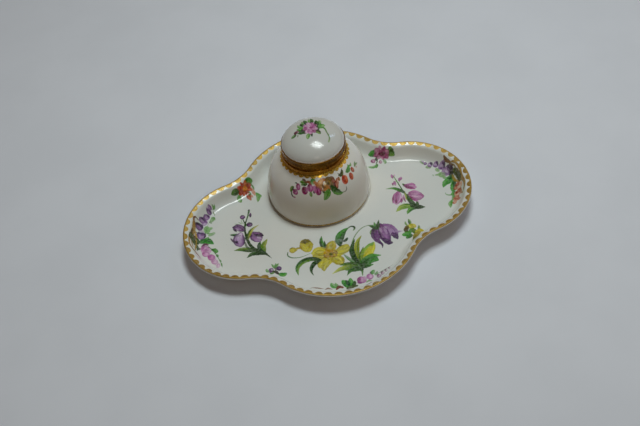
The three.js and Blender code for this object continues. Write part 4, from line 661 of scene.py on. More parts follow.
    # brick chain
    wash(c, (86.8, -4.8), 2.5, 3.0, 0, (222, 176, 150), 0.85, 0.55); wash(c, (84.8, -9.8), 2.5, 2.6, 20, (218, 168, 144), 0.85, 0.55); wash(c, (82.2, -13.8), 2.5, 2.2, 30, (218, 168, 144), 0.8, 0.55)
    B1 = ((184, 104, 78), (206, 138, 112), (160, 78, 54), (232, 190, 168)); BD = ((158, 70, 46), (188, 108, 80), (136, 54, 34), (216, 160, 132)); BL = ((214, 168, 144), (228, 194, 176), (194, 136, 108), (240, 216, 204))
    for at, hw, hh, t, k in (((87.0, -5.8), 1.9, 1.8, 20, BL), ((86.8, -2.8), 1.8, 1.2, 20, BD), ((84.6, -4.9), 1.3, 1.0, 30, B1), ((85.4, -8.6), 2.2, 1.3, 25, BD), ((84.2, -10.8), 1.9, 1.1, 25, BL), ((82.8, -13.0), 2.0, 1.5, 25, B1), ((83.6, -15.0), 0.9, 1.3, 10, B1), ((80.2, -16.2), 1.5, 1.3, 30, (B1[1], BL[0], B1[0], BL[3]))):
        bell_at(c, at, hw, hh, t, *k, a=0.9, soft=0.4, fold=0.6)
    S([(87.4, -8.0), (86.6, -10.6), (86.4, -13.4)], [0.4, 0.6, 0.25], [(176, 124, 90), (186, 150, 120)], 0.75, 0.35)
    # gilt-brown ribbon
    rb = [(162, 134, 70), (186, 156, 84), (164, 136, 72)]
    S([(85.2, 19.2), (85.6, 17.4), (86.4, 15.4), (87.6, 13.2)], [0.4, 0.8, 0.75, 0.4], [(136, 102, 46), (156, 122, 66)], 0.88)
    S([(87.0, 13.0), (88.8, 12.4), (90.2, 10.2), (91.0, 7.0), (91.1, 3.6), (90.5, 0.8), (90.2, -2.2), (90.3, -5.4), (89.6, -8.6), (88.2, -11.2), (86.6, -13.2)], [0.35, 0.75, 0.7, 0.8, 0.75, 0.7, 0.8, 0.75, 0.6, 0.45, 0.2], rb, 0.9, 0.26, edge=(100, 78, 36), edge_k=0.3)
    S([(87.6, 12.4), (88.9, 9.8), (89.4, 7.0)], [0.25, 0.4, 0.25], [(150, 124, 72)], 0.75); S([(90.3, -2.8), (90.4, -6.0)], [0.25, 0.4, 0.2], [(166, 134, 84)], 0.6)
    S([(86.8, 7.0), (86.5, 4.2), (86.8, 1.4), (88.0, -1.4), (89.2, -3.0)], [0.4, 0.75, 0.8, 0.6, 0.3], [(176, 152, 76), (196, 164, 82), (176, 138, 72)], 0.88)
    S([(88.2, 8.0), (88.8, 5.0), (89.2, 2.0), (89.1, -0.6), (88.8, -2.4)], [0.7, 1.25, 1.3, 1.2, 0.5], [(106, 112, 38), (88, 94, 24), (80, 86, 22), (100, 102, 36)], 0.93)
    S([(86.4, 8.4), (87.2, 6.4)], [0.6, 0.9, 0.4], [(58, 60, 40)], 0.88); S([(89.8, 6.6), (90.0, 3.6)], [0.2, 0.35, 0.15], [(150, 126, 60)], 0.7)


def garland_front(c):
    S = c.stroke
    leaf(c, [(-10.4, -57.6), (-12.0, -55.6), (-12.6, -53.2)], 1.6, (110, 166, 98), (160, 196, 146), a=0.88)
    leaf(c, [(-9.6, -57.4), (-9.8, -55.2), (-10.2, -53.8)], 0.9, (124, 170, 112), (170, 200, 156), a=0.85)
    for pts, w in (([(-13.0, -58.0), (-15.4, -56.6), (-17.4, -57.0)], 0.7), ([(-18.0, -56.0), (-20.4, -54.8), (-22.8, -53.4)], 0.6)):
        S(pts, [0.3 * w, w, 0.4 * w], [(156, 124, 92), (150, 112, 76)], 0.7)
    S([(-22.0, -54.4), (-24.0, -53.2), (-26.0, -53.4)], [0.3, 0.5, 0.2], [(140, 100, 60)], 0.6)
    S([(-10.6, -59.0), (-8.6, -57.6), (-6.6, -58.6)], [0.5, 1.2, 0.7], [(150, 96, 48), (128, 62, 36), (150, 90, 60)], 0.88)
    S([(-9.2, -55.2), (-8.4, -57.0)], [0.15, 0.2], [(150, 150, 130)], 0.6)
    leaf(c, [(-3.2, -59.2), (-4.2, -56.6), (-5.6, -53.4)], 2.0, (62, 130, 62), (104, 166, 92))
    leaf(c, [(-1.2, -59.4), (-0.8, -56.2), (-0.4, -53.2)], 1.8, (70, 138, 66), (118, 176, 102))
    leaf(c, [(-2.4, -58.6), (-2.8, -56.2), (-3.4, -54.0)], 1.3, (28, 74, 50), (44, 92, 60))
    leaf(c, [(-0.8, -59.4), (1.0, -58.2), (1.8, -56.0)], 1.2, (54, 84, 44), (84, 116, 64))
    S([(-4.0, -60.2), (-1.0, -60.0), (2.2, -60.2)], [0.8, 1.3, 0.7], [(96, 112, 60), (88, 104, 52)], 0.85)
    K2 = ((172, 104, 152), (208, 156, 196), (140, 74, 122), (228, 196, 220))
    bell_at(c, (5.8, -56.8), 3.1, 2.7, -25, *K2, a=0.9, soft=0.4, fold=0.7); wash(c, (4.0, -58.4), 1.5, 0.9, -20, (150, 84, 136), 0.75, 0.5); wash(c, (8.2, -55.2), 1.0, 0.8, 0, (220, 184, 212), 0.6, 0.5)
    bell_at(c, (11.4, -55.9), 2.3, 2.3, -30, (190, 128, 172), (216, 172, 206), (160, 96, 146), (232, 204, 224), a=0.9, soft=0.4, fold=0.7); S([(8.2, -57.0), (8.8, -55.6)], [0.5, 0.9, 0.4], [(216, 190, 212)], 0.7)
    S([(8.2, -59.4), (10.0, -58.8), (11.6, -59.4)], [0.3, 0.8, 0.4], [(130, 160, 110), (150, 176, 130)], 0.75)
    leaf(c, [(13.2, -54.6), (14.2, -53.0), (15.6, -52.0)], 1.3, (112, 166, 104), (160, 196, 146), a=0.88); S([(12.4, -53.6), (13.0, -52.6)], [0.3, 0.6, 0.3], [(92, 96, 88)], 0.7)
    leaf(c, [(14.6, -55.4), (16.4, -54.4), (16.8, -53.0)], 0.8, (130, 170, 120), (166, 198, 154), a=0.8)
    # the chain fades out along the wall
    for at, hw, f in (((16.8, -57.2), 1.6, 0.75), ((19.6, -55.8), 1.4, 0.6), ((22.2, -54.6), 1.2, 0.5), ((24.6, -53.6), 1.0, 0.4)):
        bell_at(c, at, hw, hw, -40, (168, 132, 150), (196, 172, 188), (134, 100, 118), (224, 208, 220), a=f)
    S([(14.6, -56.2), (18.6, -54.6), (23.2, -53.2), (27.6, -51.6)], [0.2, 0.3, 0.26, 0.12], [(120, 128, 108), (130, 138, 124)], 0.7)
    # ribbon and bells low on the wall, out of sight from the front
    S([(-14.6, -60.4), (-9.4, -62.6), (-3.8, -61.8), (0.6, -63.4), (6.2, -62.4), (11.4, -60.6)], [0.25, 0.55, 0.45, 0.6, 0.45, 0.2], [(130, 96, 44), (156, 116, 56), (120, 86, 38)], 0.86)
    for at in ((-8.4, -62.6), (-12.2, -61.8), (-16.2, -60.8)):
        bell_at(c, at, 1.5, 1.3, 30, (150, 118, 158), (186, 160, 196), (104, 70, 116), (214, 198, 220))


class Wrap:
    """Turns the right-hand garland round the tray: keeps its depth from the rim and its run along the wall."""

    def __init__(self, centre, turn, base_r, flip=False, stretch=1.0, end_x=54.1 * K, end_r=40.9 * K, seat=0.0):
        self.c = np.asarray(centre, float); self.t = turn; self.R = base_r; self.flip = flip
        self.k = stretch; self.scale = K; self.ex = end_x; self.er = end_r; self.seat = seat

    def __call__(self, p):
        p = np.array(p, float, ndmin=2) * K
        dx, dy = p[:, 0] - self.ex, p[:, 1]
        r, a = np.hypot(dx, dy), np.arctan2(dy, dx)
        depth = self.er - r + self.seat                 # distance in from the outline
        run = a * self.er * self.k
        if self.flip:
            run = -run
        th = self.t + run / self.R
        rr = self.R - depth
        return np.c_[self.c[0] + rr * np.cos(th), self.c[1] + rr * np.sin(th)]


# ------------------------------------------------------------------ the tray's shape
END_R, SIDE_R, SIDE_Y, FIL_R = 40.9 * K, 54.3 * K, 16.9 * K, 31.5 * K
END_X = TRAY_HI[0] - END_R


def tray_arcs():
    A, B = np.array([END_X, 0.0]), np.array([0.0, SIDE_Y])
    rA, rB = END_R + FIL_R, SIDE_R + FIL_R
    d = float(np.hypot(*(A - B)))
    al = (rA * rA - rB * rB + d * d) / (2 * d)
    h = math.sqrt(rA * rA - al * al)
    u = (B - A) / d
    F = A + u * al + np.array([u[1], -u[0]]) * h
    thA, thB = math.atan2(F[1] - A[1], F[0] - A[0]), math.atan2(F[1] - B[1], F[0] - B[0])
    fa, fb = math.atan2(A[1] - F[1], A[0] - F[0]), math.atan2(B[1] - F[1], B[0] - F[0])
    fs = fb - fa
    while fs > 0:
        fs -= 2 * math.pi
    arcs = []

    def add(c, r, a0, s, sign):
        arcs.append((np.array(c, float), r, a0, s, sign, abs(s) * r))
    add(A, END_R, -thA, 2 * thA, 1)
    add(F, FIL_R, fa, fs, -1)
    add(B, SIDE_R, thB, math.pi - 2 * thB, 1)
    add((-F[0], F[1]), FIL_R, math.pi - fb, fs, -1)
    add((-A[0], 0), END_R, math.pi - thA, 2 * thA, 1)
    add((-F[0], -F[1]), FIL_R, math.pi + fa, fs, -1)
    add((0, -B[1]), SIDE_R, math.pi + thB, math.pi - 2 * thB, 1)
    add((F[0], -F[1]), FIL_R, -fb, fs, -1)
    return arcs


ARCS = tray_arcs()
ROUND = sum(a[5] for a in ARCS)


def outline(count):
    """Samples round the tray as rows of centre x, centre y, radius, sense, angle, run along the outline."""
    rows, run = [], 0.0
    for c, r, a0, s, sign, length in ARCS:
        n = 8 * max(2, round(count * length / ROUND / 8))
        for i in range(n):
            rows.append((c[0], c[1], r, sign, a0 + s * i / n, run + length * i / n))
        run += length
    return np.array(rows)


def at_inset(o, d):
    r = o[:, 2] - o[:, 3] * d
    return np.c_[o[:, 0] + r * np.cos(o[:, 4]), o[:, 1] + r * np.sin(o[:, 4])]


def inset_of(x, y):
    """How far points lie inside the outline."""
    best = np.full(len(x), 60.0)
    for c, r, a0, s, sign, _ in ARCS:
        dx, dy = x - c[0], y - c[1]
        dist = np.hypot(dx, dy)
        mid = a0 + s / 2
        off = np.abs((np.arctan2(dy, dx) - mid + math.pi) % (2 * math.pi) - math.pi)
        ok = off <= abs(s) / 2 + 1e-6
        d = (r - dist) * sign
        ok &= d > -3
        best = np.where(ok & (d < best), d, best)
    return best


IN_PROFILE = np.array([(14.0, 5.0), (12.6, 5.0), (11.2, 5.02), (9.7, 5.27), (8.5, 5.87), (7.3, 7.05), (6.1, 8.9), (5.0, 11.0),
                       (4.25, 12.35), (3.45, 13.1), (2.3, 13.52), (1.5, 13.82), (0.9, 13.98), (0.32, 13.8), (0.03, 13.2), (0.15, 12.5),
                       (0.9, 11.88), (2.1, 11.1), (3.2, 9.8), (4.3, 7.8), (5.5, 5.8), (7.0, 4.0), (8.9, 2.85), (11.0, 2.25), (12.3, 2.12)])
IN_PROFILE = IN_PROFILE * K + [0, RIM_Z - 14.0 * K]
FOOT_PROFILE = np.array([(12.5, 2.0), (12.56, 1.8), (12.62, 0.6), (12.68, 0.25), (12.8, 0.08), (13.0, 0.0), (14.2, 0.0), (15.5, 0.0),
                         (15.75, 0.08), (15.9, 0.25), (15.98, 0.6), (16.1, 1.8), (16.2, 2.0), (16.6, 2.1), (18.5, 2.1)]) * K
SECTION = spline(IN_PROFILE, 24)
SEC_ARC = np.r_[0, np.cumsum(np.hypot(*np.diff(SECTION, axis=0).T))]
CREST = SEC_ARC[np.argmax(SECTION[:, 1])]
_d = SECTION[:, 0]
_down = np.argmax(SECTION[:, 1])
EDGE_D = 5.2 * K
EDGE_ARC = float(np.interp(-EDGE_D, -_d[:_down], SEC_ARC[:_down]))
LIP_ARC = float(SEC_ARC[_down] + 2.4 * K)


def inner_z(d):
    return np.interp(-d, -_d[:_down + 1], SECTION[:_down + 1, 1])


def weld(a, b, k):
    """Triangles between a fine closed ring a and a coarse ring b with k fine points to each coarse one."""
    n, m = len(a), len(b)
    out = []
    for j in range(m):
        b0, b1 = b[j], b[(j + 1) % m]
        h = (k + 1) // 2
        for i in range(h):
            out.append((a[(j * k + i) % n], b0, a[(j * k + i + 1) % n]))
        out.append((a[(j * k + h) % n], b0, b1))
        for i in range(h, k):
            out.append((a[(j * k + i) % n], b1, a[(j * k + i + 1) % n]))
    return out


def band(a, b):
    """Quads between two closed rings of the same length."""
    a, b = np.asarray(a), np.asarray(b)
    return np.stack([a, b, np.roll(b, -1), np.roll(a, -1)], 1)


def facing(ob, sign=1):
    """Turns the faces outward (by the mesh's own volume)."""
    me = ob.data
    me.calc_loop_triangles()
    n = len(me.loop_triangles)
    t = np.empty(n * 3, np.int32); me.loop_triangles.foreach_get("vertices", t)
    v = np.empty(len(me.vertices) * 3, np.float32); me.vertices.foreach_get("co", v)
    v = v.reshape(-1, 3).astype(float); t = t.reshape(-1, 3)
    vol = np.einsum("ij,ij->i", v[t[:, 0]], np.cross(v[t[:, 1]], v[t[:, 2]])).sum()
    if vol * sign < 0:
        me.flip_normals()
    return ob


def raise_paint(ob, canvas, enamel=0.02, gold=0.03):
    """Enamel and gilding stand a little proud of the glaze."""
    me = ob.data
    n = len(me.vertices)
    nor = np.empty(n * 3, np.float32); me.vertex_normals.foreach_get("vector", nor)
    co = np.empty(n * 3, np.float32); me.vertices.foreach_get("co", co)
    nor = nor.reshape(-1, 3); co = co.reshape(-1, 3)
    m = len(canvas.A)
    lift = canvas.A * enamel + smooth(-0.12, 0.12, canvas.G - 0.5) * gold
    co[:m] += nor[:m] * (lift * MM)[:, None].astype(np.float32)
    me.vertices.foreach_set("co", co.ravel())
    me.update()


# ------------------------------------------------------------------ where the tray is painted
def paint_tray(c):
    sprig_bells_left(c)
    sprig_bells_right(c)
    bouquet(c)
    small_flowers(c)
    garland_right(c)
    garland_left(c)
    garland_front(c)
    back = Wrap((0, SIDE_Y), math.pi / 2 + 0.05, SIDE_R, flip=True, stretch=1.02)
    garland(c, back, "pink")


def tray_gilding(run, along):
    """Signed distance (mm, positive inside the gold) for the rim: a line on the crest and half-rounds hanging from it."""
    count = round(ROUND / (6.1 * K))
    pitch = ROUND / count
    ph = (run / pitch) % 1.0 - 0.5
    k = np.floor(run / pitch).astype(np.int64)
    jx = (hash2(k, k * 0, 5) - 0.5) * 0.5; jr = (hash2(k, k * 0 + 3, 6) - 0.5) * 0.35
    x = ph * pitch + jx
    down = along                                     # path in from the crest, along the wall
    line = 0.60 * K - np.abs(down + 0.20 * K)
    base = 0.16 * K
    lobe = 1 - np.hypot(x / ((2.45 + jr) * K), (down - base) / (2.30 * K))
    lobe = np.minimum(lobe * 2.3 * K, down - base)
    return np.maximum(line, lobe)


def build_tray():
    o = outline(1440)
    n = len(o)
    step = 0.32 * K
    dense = np.linspace(EDGE_ARC, LIP_ARC, int((LIP_ARC - EDGE_ARC) / step) + 1)
    V, quads, tris, rings = [], [], [], []
    run, along = [], []
    for s in dense:
        d, z = np.interp(s, SEC_ARC, SECTION[:, 0]), np.interp(s, SEC_ARC, SECTION[:, 1])
        p = at_inset(o, d)
        rings.append(np.arange(len(V) * n, (len(V) + 1) * n))
        V.append(np.c_[p, np.full(n, z)])
        run.append(o[:, 5]); along.append(np.full(n, CREST - s))
    for a, b in zip(rings, rings[1:]):
        quads.append(band(a, b))
    V = np.vstack(V); run = np.concatenate(run); along = np.concatenate(along)

    # where the floor and wall need fine points
    g = 0.5
    gx = np.arange(-96, 96.01, g) * K; gy = np.arange(-72, 72.01, g) * K
    GX, GY = np.meshgrid(gx, gy)
    probe = Canvas(np.c_[GX.ravel(), GY.ravel()])
    paint_tray(probe)
    mask = (probe.A > 0.02).reshape(GX.shape)

    def grow(m, r):
        for _ in range(r):
            q = m.copy()
            q[1:] |= m[:-1]; q[:-1] |= m[1:]; q[:, 1:] |= m[:, :-1]; q[:, :-1] |= m[:, 1:]
            m = q
        return m
    fine_m, mid_m = grow(mask, 1), grow(mask, 5)

    def look(m, x, y):
        i = np.clip(np.round((x - gx[0]) / (g * K)).astype(int), 0, len(gx) - 1)
        j = np.clip(np.round((y - gy[0]) / (g * K)).astype(int), 0, len(gy) - 1)
        return m[j, i]

    h = 0.36 * K
    nj = int(145 * K / (h * math.sqrt(3) / 2)) // 2
    ni = int(300 * K / h) // 2
    I, J = np.meshgrid(np.arange(-ni, ni + 1), np.arange(-nj, nj + 1))
    I, J = I.ravel(), J.ravel()
    X, Y = (I + 0.5 * J) * h, J * h * math.sqrt(3) / 2
    keep = (np.abs(X) < 92 * K) & (np.abs(Y) < 70 * K)
    I, J, X, Y = I[keep], J[keep], X[keep], Y[keep]
    d = inset_of(X, Y)
    rw = np.hypot(X - WX, Y - WY)
    lvl1, lvl2 = (I % 2 == 0) & (J % 2 == 0), (I % 4 == 0) & (J % 4 == 0)
    fine = look(fine_m, X, Y) | (d < EDGE_D + 0.8 * K)
    mid = look(mid_m, X, Y) | (d < 13 * K) | ((rw > 31 * K) & (rw < 38 * K))
    take = fine | (mid & lvl1) | lvl2
    take &= (d > EDGE_D + 0.3 * K) & (d < 59) & ~((rw > 33.0 * K) & (rw < 35.3 * K))
    X, Y = X[take], Y[take]
    seat_n = 480
    th = np.arange(seat_n) * 2 * math.pi / seat_n
    for k, r in enumerate((35.1, 34.75, 34.5, 34.36, 34.22, 34.1, 33.98, 33.84, 33.5)):
        t = th + (k % 2) * math.pi / seat_n
        X = np.r_[X, WX + r * K * np.cos(t)]; Y = np.r_[Y, WY + r * K * np.sin(t)]
    edge = V[:n, :2]
    pts = [Vector((float(a), float(b))) for a, b in np.vstack([edge, np.c_[X, Y]])]
    loop = [(i, (i + 1) % n) for i in range(n)]
    vo, _, faces, orig, _, _ = delaunay_2d_cdt(pts, loop, [], 1, 1e-6)
    index = np.full(len(vo), -1, np.int64)
    total_top = len(V)
    for k, src in enumerate(orig):
        s = src[0] if src else -1
        index[k] = s if s < n else total_top + s - n
    P = np.c_[X, Y]
    dd = inset_of(X, Y)
    z = inner_z(np.minimum(dd, 13.9 * K))
    rw = np.hypot(X - WX, Y - WY)
    z = np.minimum(z, FLOOR_Z - 0.5 * K * smooth(34.42 * K, 34.0 * K, rw) + (rw > 34.5 * K) * 100)
    V = np.vstack([V, np.c_[P, z]])
    run = np.r_[run, np.zeros(len(P))]; along = np.r_[along, np.full(len(P), 9.0)]
    tris.append(np.array([[index[i] for i in f] for f in faces if len(f) == 3], np.int64))
    top = len(V)

    # outside, underside and foot ring, coarser away from the lip
    extra = []
    def ring(points_d_z, m):
        dd_, zz_ = points_d_z
        oo = o[::m]
        p = at_inset(oo, dd_)
        base = len(V) + sum(len(e) for e in extra)
        extra.append(np.c_[p, np.full(len(oo), zz_)])
        return np.arange(base, base + len(oo))
    last = rings[-1]
    s0 = LIP_ARC
    under_arc = np.r_[np.arange(s0 + 0.9 * K, SEC_ARC[-1], 0.9 * K), SEC_ARC[-1]]
    first = True
    ringlist = []
    for s in under_arc:
        ringlist.append(((np.interp(s, SEC_ARC, SECTION[:, 0]), np.interp(s, SEC_ARC, SECTION[:, 1])), 4))
    for dz in FOOT_PROFILE:
        ringlist.append(((dz[0], dz[1]), 4))
    prev = last
    foot_from = None
    for dz, m in ringlist:
        r = ring(dz, m)
        if len(prev) != len(r):
            tris.append(np.array(weld(prev, r, len(prev) // len(r)), np.int64))
        else:
            quads.append(band(prev, r))
        prev = r
    V = np.vstack([V] + extra)
    # the flat underside inside the foot ring
    inner_loop = [Vector((float(a), float(b))) for a, b in V[prev, :2]]
    m = len(inner_loop)
    gxx, gyy = np.meshgrid(np.arange(-88, 88, 4.0) * K, np.arange(-66, 66, 4.0) * K)
    gxx, gyy = gxx.ravel(), gyy.ravel()
    ok = inset_of(gxx, gyy) > 20.5 * K
    more = np.c_[gxx[ok], gyy[ok]]
    pts = inner_loop + [Vector((float(a), float(b))) for a, b in more]
    vo, _, faces, orig, _, _ = delaunay_2d_cdt(pts, [(i, (i + 1) % m) for i in range(m)], [], 1, 1e-6)
    base = len(V)
    V = np.vstack([V, np.c_[more, np.full(len(more), UNDER_Z)]])
    idx = [int(prev[s[0]]) if s[0] < m else base + s[0] - m for s in orig]
    tris.append(np.array([[idx[i] for i in f][::-1] for f in faces], np.int64))
    ob = make_mesh("tray_china", V, np.vstack(tris), np.vstack(quads))
    ob.data.polygons.foreach_set("use_smooth", np.ones(len(ob.data.polygons), bool))

    c = Canvas(V[:top, :2])
    paint_tray(c)
    gold = tray_gilding(run, along)
    c.G = np.clip(0.5 + gold / (1.2 * K), 0, 1)      # distance field: the gold's edge is where this is one half
    return ob, c


def fix_normals(ob):
    """Consistent winding, then outward."""
    import bmesh
    bm = bmesh.new(); bm.from_mesh(ob.data)
    bmesh.ops.recalc_face_normals(bm, faces=bm.faces)
    bm.to_mesh(ob.data); bm.free()
    return facing(ob)


# ------------------------------------------------------------------ turned pieces
def lathe(name, profile, n, centre=(0, 0), close=False, reduce=None):
    """Revolves (r, z) points about Z. Points on the axis become poles. reduce gives the count for each ring."""
    V, tris, quads = [], [], []
    rings = []
    for k, (r, z) in enumerate(profile):
        m = n if reduce is None else reduce[k]
        if r < 1e-6:
            rings.append(np.array([len(V)])); V.append((centre[0], centre[1], z)); continue
        base = len(V)
        t = np.arange(m) * 2 * math.pi / m - math.pi / 2
        V.extend(zip(centre[0] + r * np.cos(t), centre[1] + r * np.sin(t), np.full(m, z)))
        rings.append(np.arange(base, base + m))
    pairs = list(zip(rings, rings[1:])) + ([(rings[-1], rings[0])] if close else [])
    for a, b in pairs:
        if len(a) == 1 and len(b) == 1:
            continue
        if len(a) == 1:
            tris.extend((int(a[0]), int(b[i]), int(b[(i + 1) % len(b)])) for i in range(len(b)))
        elif len(b) == 1:
            tris.extend((int(b[0]), int(a[(i + 1) % len(a)]), int(a[i])) for i in range(len(a)))
        elif len(a) == len(b):
            quads.append(band(a, b))
        elif len(a) > len(b):
            tris.extend(weld(a, b, len(a) // len(b)))
        else:
            tris.extend(t[::-1] for t in weld(b, a, len(b) // len(a)))
    ob = make_mesh(name, np.array(V), np.array(tris) if tris else None, np.vstack(quads) if quads else None)
    return ob, rings


def rounded(points, r=0.12, n=4, closed=False):
    """Rounds every corner of an (r, z) polyline."""
    p = np.asarray(points, float)
    m = len(p)
    out = []
    rng = range(m) if closed else range(1, m - 1)
    if not closed:
        out.append(p[0])
    for i in rng:
        a, b, c = p[i - 1], p[i], p[(i + 1) % m]
        u, v = a - b, c - b
        lu, lv = np.hypot(*u), np.hypot(*v)
        k = min(r, 0.45 * lu, 0.45 * lv)
        s, e = b + u / lu * k, b + v / lv * k
        for t in np.linspace(0, 1, n + 1):
            out.append((1 - t) ** 2 * s + 2 * t * (1 - t) * b + t * t * e)
    if not closed:
        out.append(p[-1])
    return np.array(out)


WELL_PROFILE = np.array([(33.35, 5.4), (33.75, 7.6), (33.75, 11.5), (33.1, 16.5), (32.05, 22.0), (30.5, 27.2), (28.3, 31.8),
                         (25.6, 35.5), (22.9, 38.3), (21.2, 40.0)]) * K
WZ0 = WELL_LO[2] - 4.5 * K


def build_well():
    curve = spline(WELL_PROFILE + [0, WZ0], 24)
    arc = np.r_[0, np.cumsum(np.hypot(*np.diff(curve, axis=0).T))]
    fine = 0.31 * K
    steps = np.r_[np.arange(0, 1.8 * K, fine), np.arange(2.4 * K, 18.4 * K, 1.0 * K), np.arange(19 * K, arc[-1], fine), arc[-1]]
    n1, n2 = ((720, 240))
    outer = np.c_[np.interp(steps, arc, curve[:, 0]), np.interp(steps, arc, curve[:, 1])]
    cnt = np.where((steps > 1.9 * K) & (steps < 18.6 * K), n2, n1)
    neck = rounded(np.array([(20.1, 40.42), (19.45, 40.5), (19.4, 41.1), (19.4, 42.0), (15.5, 42.0), (15.5, 37.6), (20.2, 36.4)]) * K + [0, WZ0], 0.25 * K)[1:-1]
    inside = spline(np.array([(20.2, 36.4), (24.0, 33.0), (27.6, 27.4), (29.6, 20.4), (30.3, 12.8), (28.6, 9.2), (24, 8.5), (12, 8.4)]) * K + [0, WZ0], 5)
    below = rounded(np.array([(0.001, 5.6), (29.2, 5.6), (29.8, 4.5), (33.0, 4.5), (33.3, 4.8), (33.35, 5.4)]) * K + [0, WZ0], 0.2 * K)[:-1]
    below[0, 0] = 0
    prof = np.vstack([below, outer, neck, inside, [[0, 8.4 * K + WZ0]]])
    counts = np.r_[np.full(len(below), n2), cnt, np.full(len(neck), n2), np.full(len(inside) + 1, 120)]
    # foot bead is fine enough for its line
    ob, rings = lathe("well_china", prof, n1, (WX, WY), reduce=list(counts))
    first = len(below)
    lo, hi = rings[first][0], rings[first + len(outer) - 1][-1] + 1
    V = np.empty(len(ob.data.vertices) * 3, np.float32); ob.data.vertices.foreach_get("co", V)
    V = V.reshape(-1, 3).astype(float) / MM
    A = np.zeros(len(V)); A[:] = -9
    for k in range(len(outer)):
        A[rings[first + k]] = steps[k] / K
    th = np.degrees(np.arctan2(V[:, 0] - WX, -(V[:, 1] - WY)))
    c = Canvas(np.c_[th * 0.5236, A])
    return ob, c, th, A


def well_gilding(th, A):
    n = 34
    ph = (th / 360.0 * n) % 1.0 - 0.5
    k = np.floor(th / 360.0 * n).astype(np.int64)
    jr = (hash2(k, k * 0 + 1, 9) - 0.5) * 0.3
    r = 22.0
    x = ph * 2 * math.pi * r / n
    top = 38.35
    lobe = (1.95 + jr) - np.hypot(x, (top - A) * 1.0)
    line = A - 37.5
    foot = 0.85 - np.abs(A - 0.5)
    g = np.maximum(np.maximum(lobe, line), foot)
    g[A < -5] = -1
    return g


def lid_curve(n):
    rise = (LID_HI[2] - LID_LO[2]) * 9.0 / 13.3
    top, edge = LID_HI[2], LID_HI[2] - 9.0 * K
    t = np.linspace(0, math.pi / 2, n)
    u = np.sin(t) ** (2 / 1.86)
    r = 20.0 * K * np.sqrt(np.maximum(0, 1 - u ** 1.86))
    return np.c_[r, edge + (top - edge) * u][::-1]      # from the top out to the edge


def build_lid():
    c0 = lid_curve(400)
    arc = np.r_[0, np.cumsum(np.hypot(*np.diff(c0, axis=0).T))]
    step = 0.3 * K
    s = np.linspace(0, arc[-1], int(arc[-1] / step) + 1)
    outer = np.c_[np.interp(s, arc, c0[:, 0]), np.interp(s, arc, c0[:, 1])]
    outer[0, 0] = 0
    cnt = [int(v) for v in np.where(outer[:, 0] < 2.6 * K, 80, np.where(outer[:, 0] < 6.5 * K, 160, 320))]
    e = LID_HI[2] - 9.0 * K
    dn = rounded(np.array([(20.0, e / K), (19.9, e / K - 0.55), (19.28, e / K - 0.55), (19.28, e / K - 4.1), (19.1, e / K - 4.3),
                           (17.8, e / K - 4.3), (17.6, e / K - 4.15), (17.6, e / K + 0.1)]) * K, 0.1 * K, 3)[1:-1]
    t = np.linspace(0, math.pi / 2, 22)
    inner = np.c_[17.6 * K * np.cos(t), e + 0.1 * K + 6.5 * K * np.sin(t)]
    inner[-1, 0] = 0
    prof = np.vstack([outer, dn, inner])
    counts = cnt + [160] * len(dn) + [160] * len(inner)
    ob, rings = lathe("lid_china", prof, 320, (WX, WY), reduce=counts)
    V = np.empty(len(ob.data.vertices) * 3, np.float32); ob.data.vertices.foreach_get("co", V)
    V = V.reshape(-1, 3).astype(float) / MM
    top = rings[len(outer) - 1][-1] + 1
    c = Canvas((V[:top, :2] - [WX, WY]) / K)
    return ob, c


# ------------------------------------------------------------------ painting on the well and the lid
def W(theta, arc):
    return (theta * 0.5236, arc)


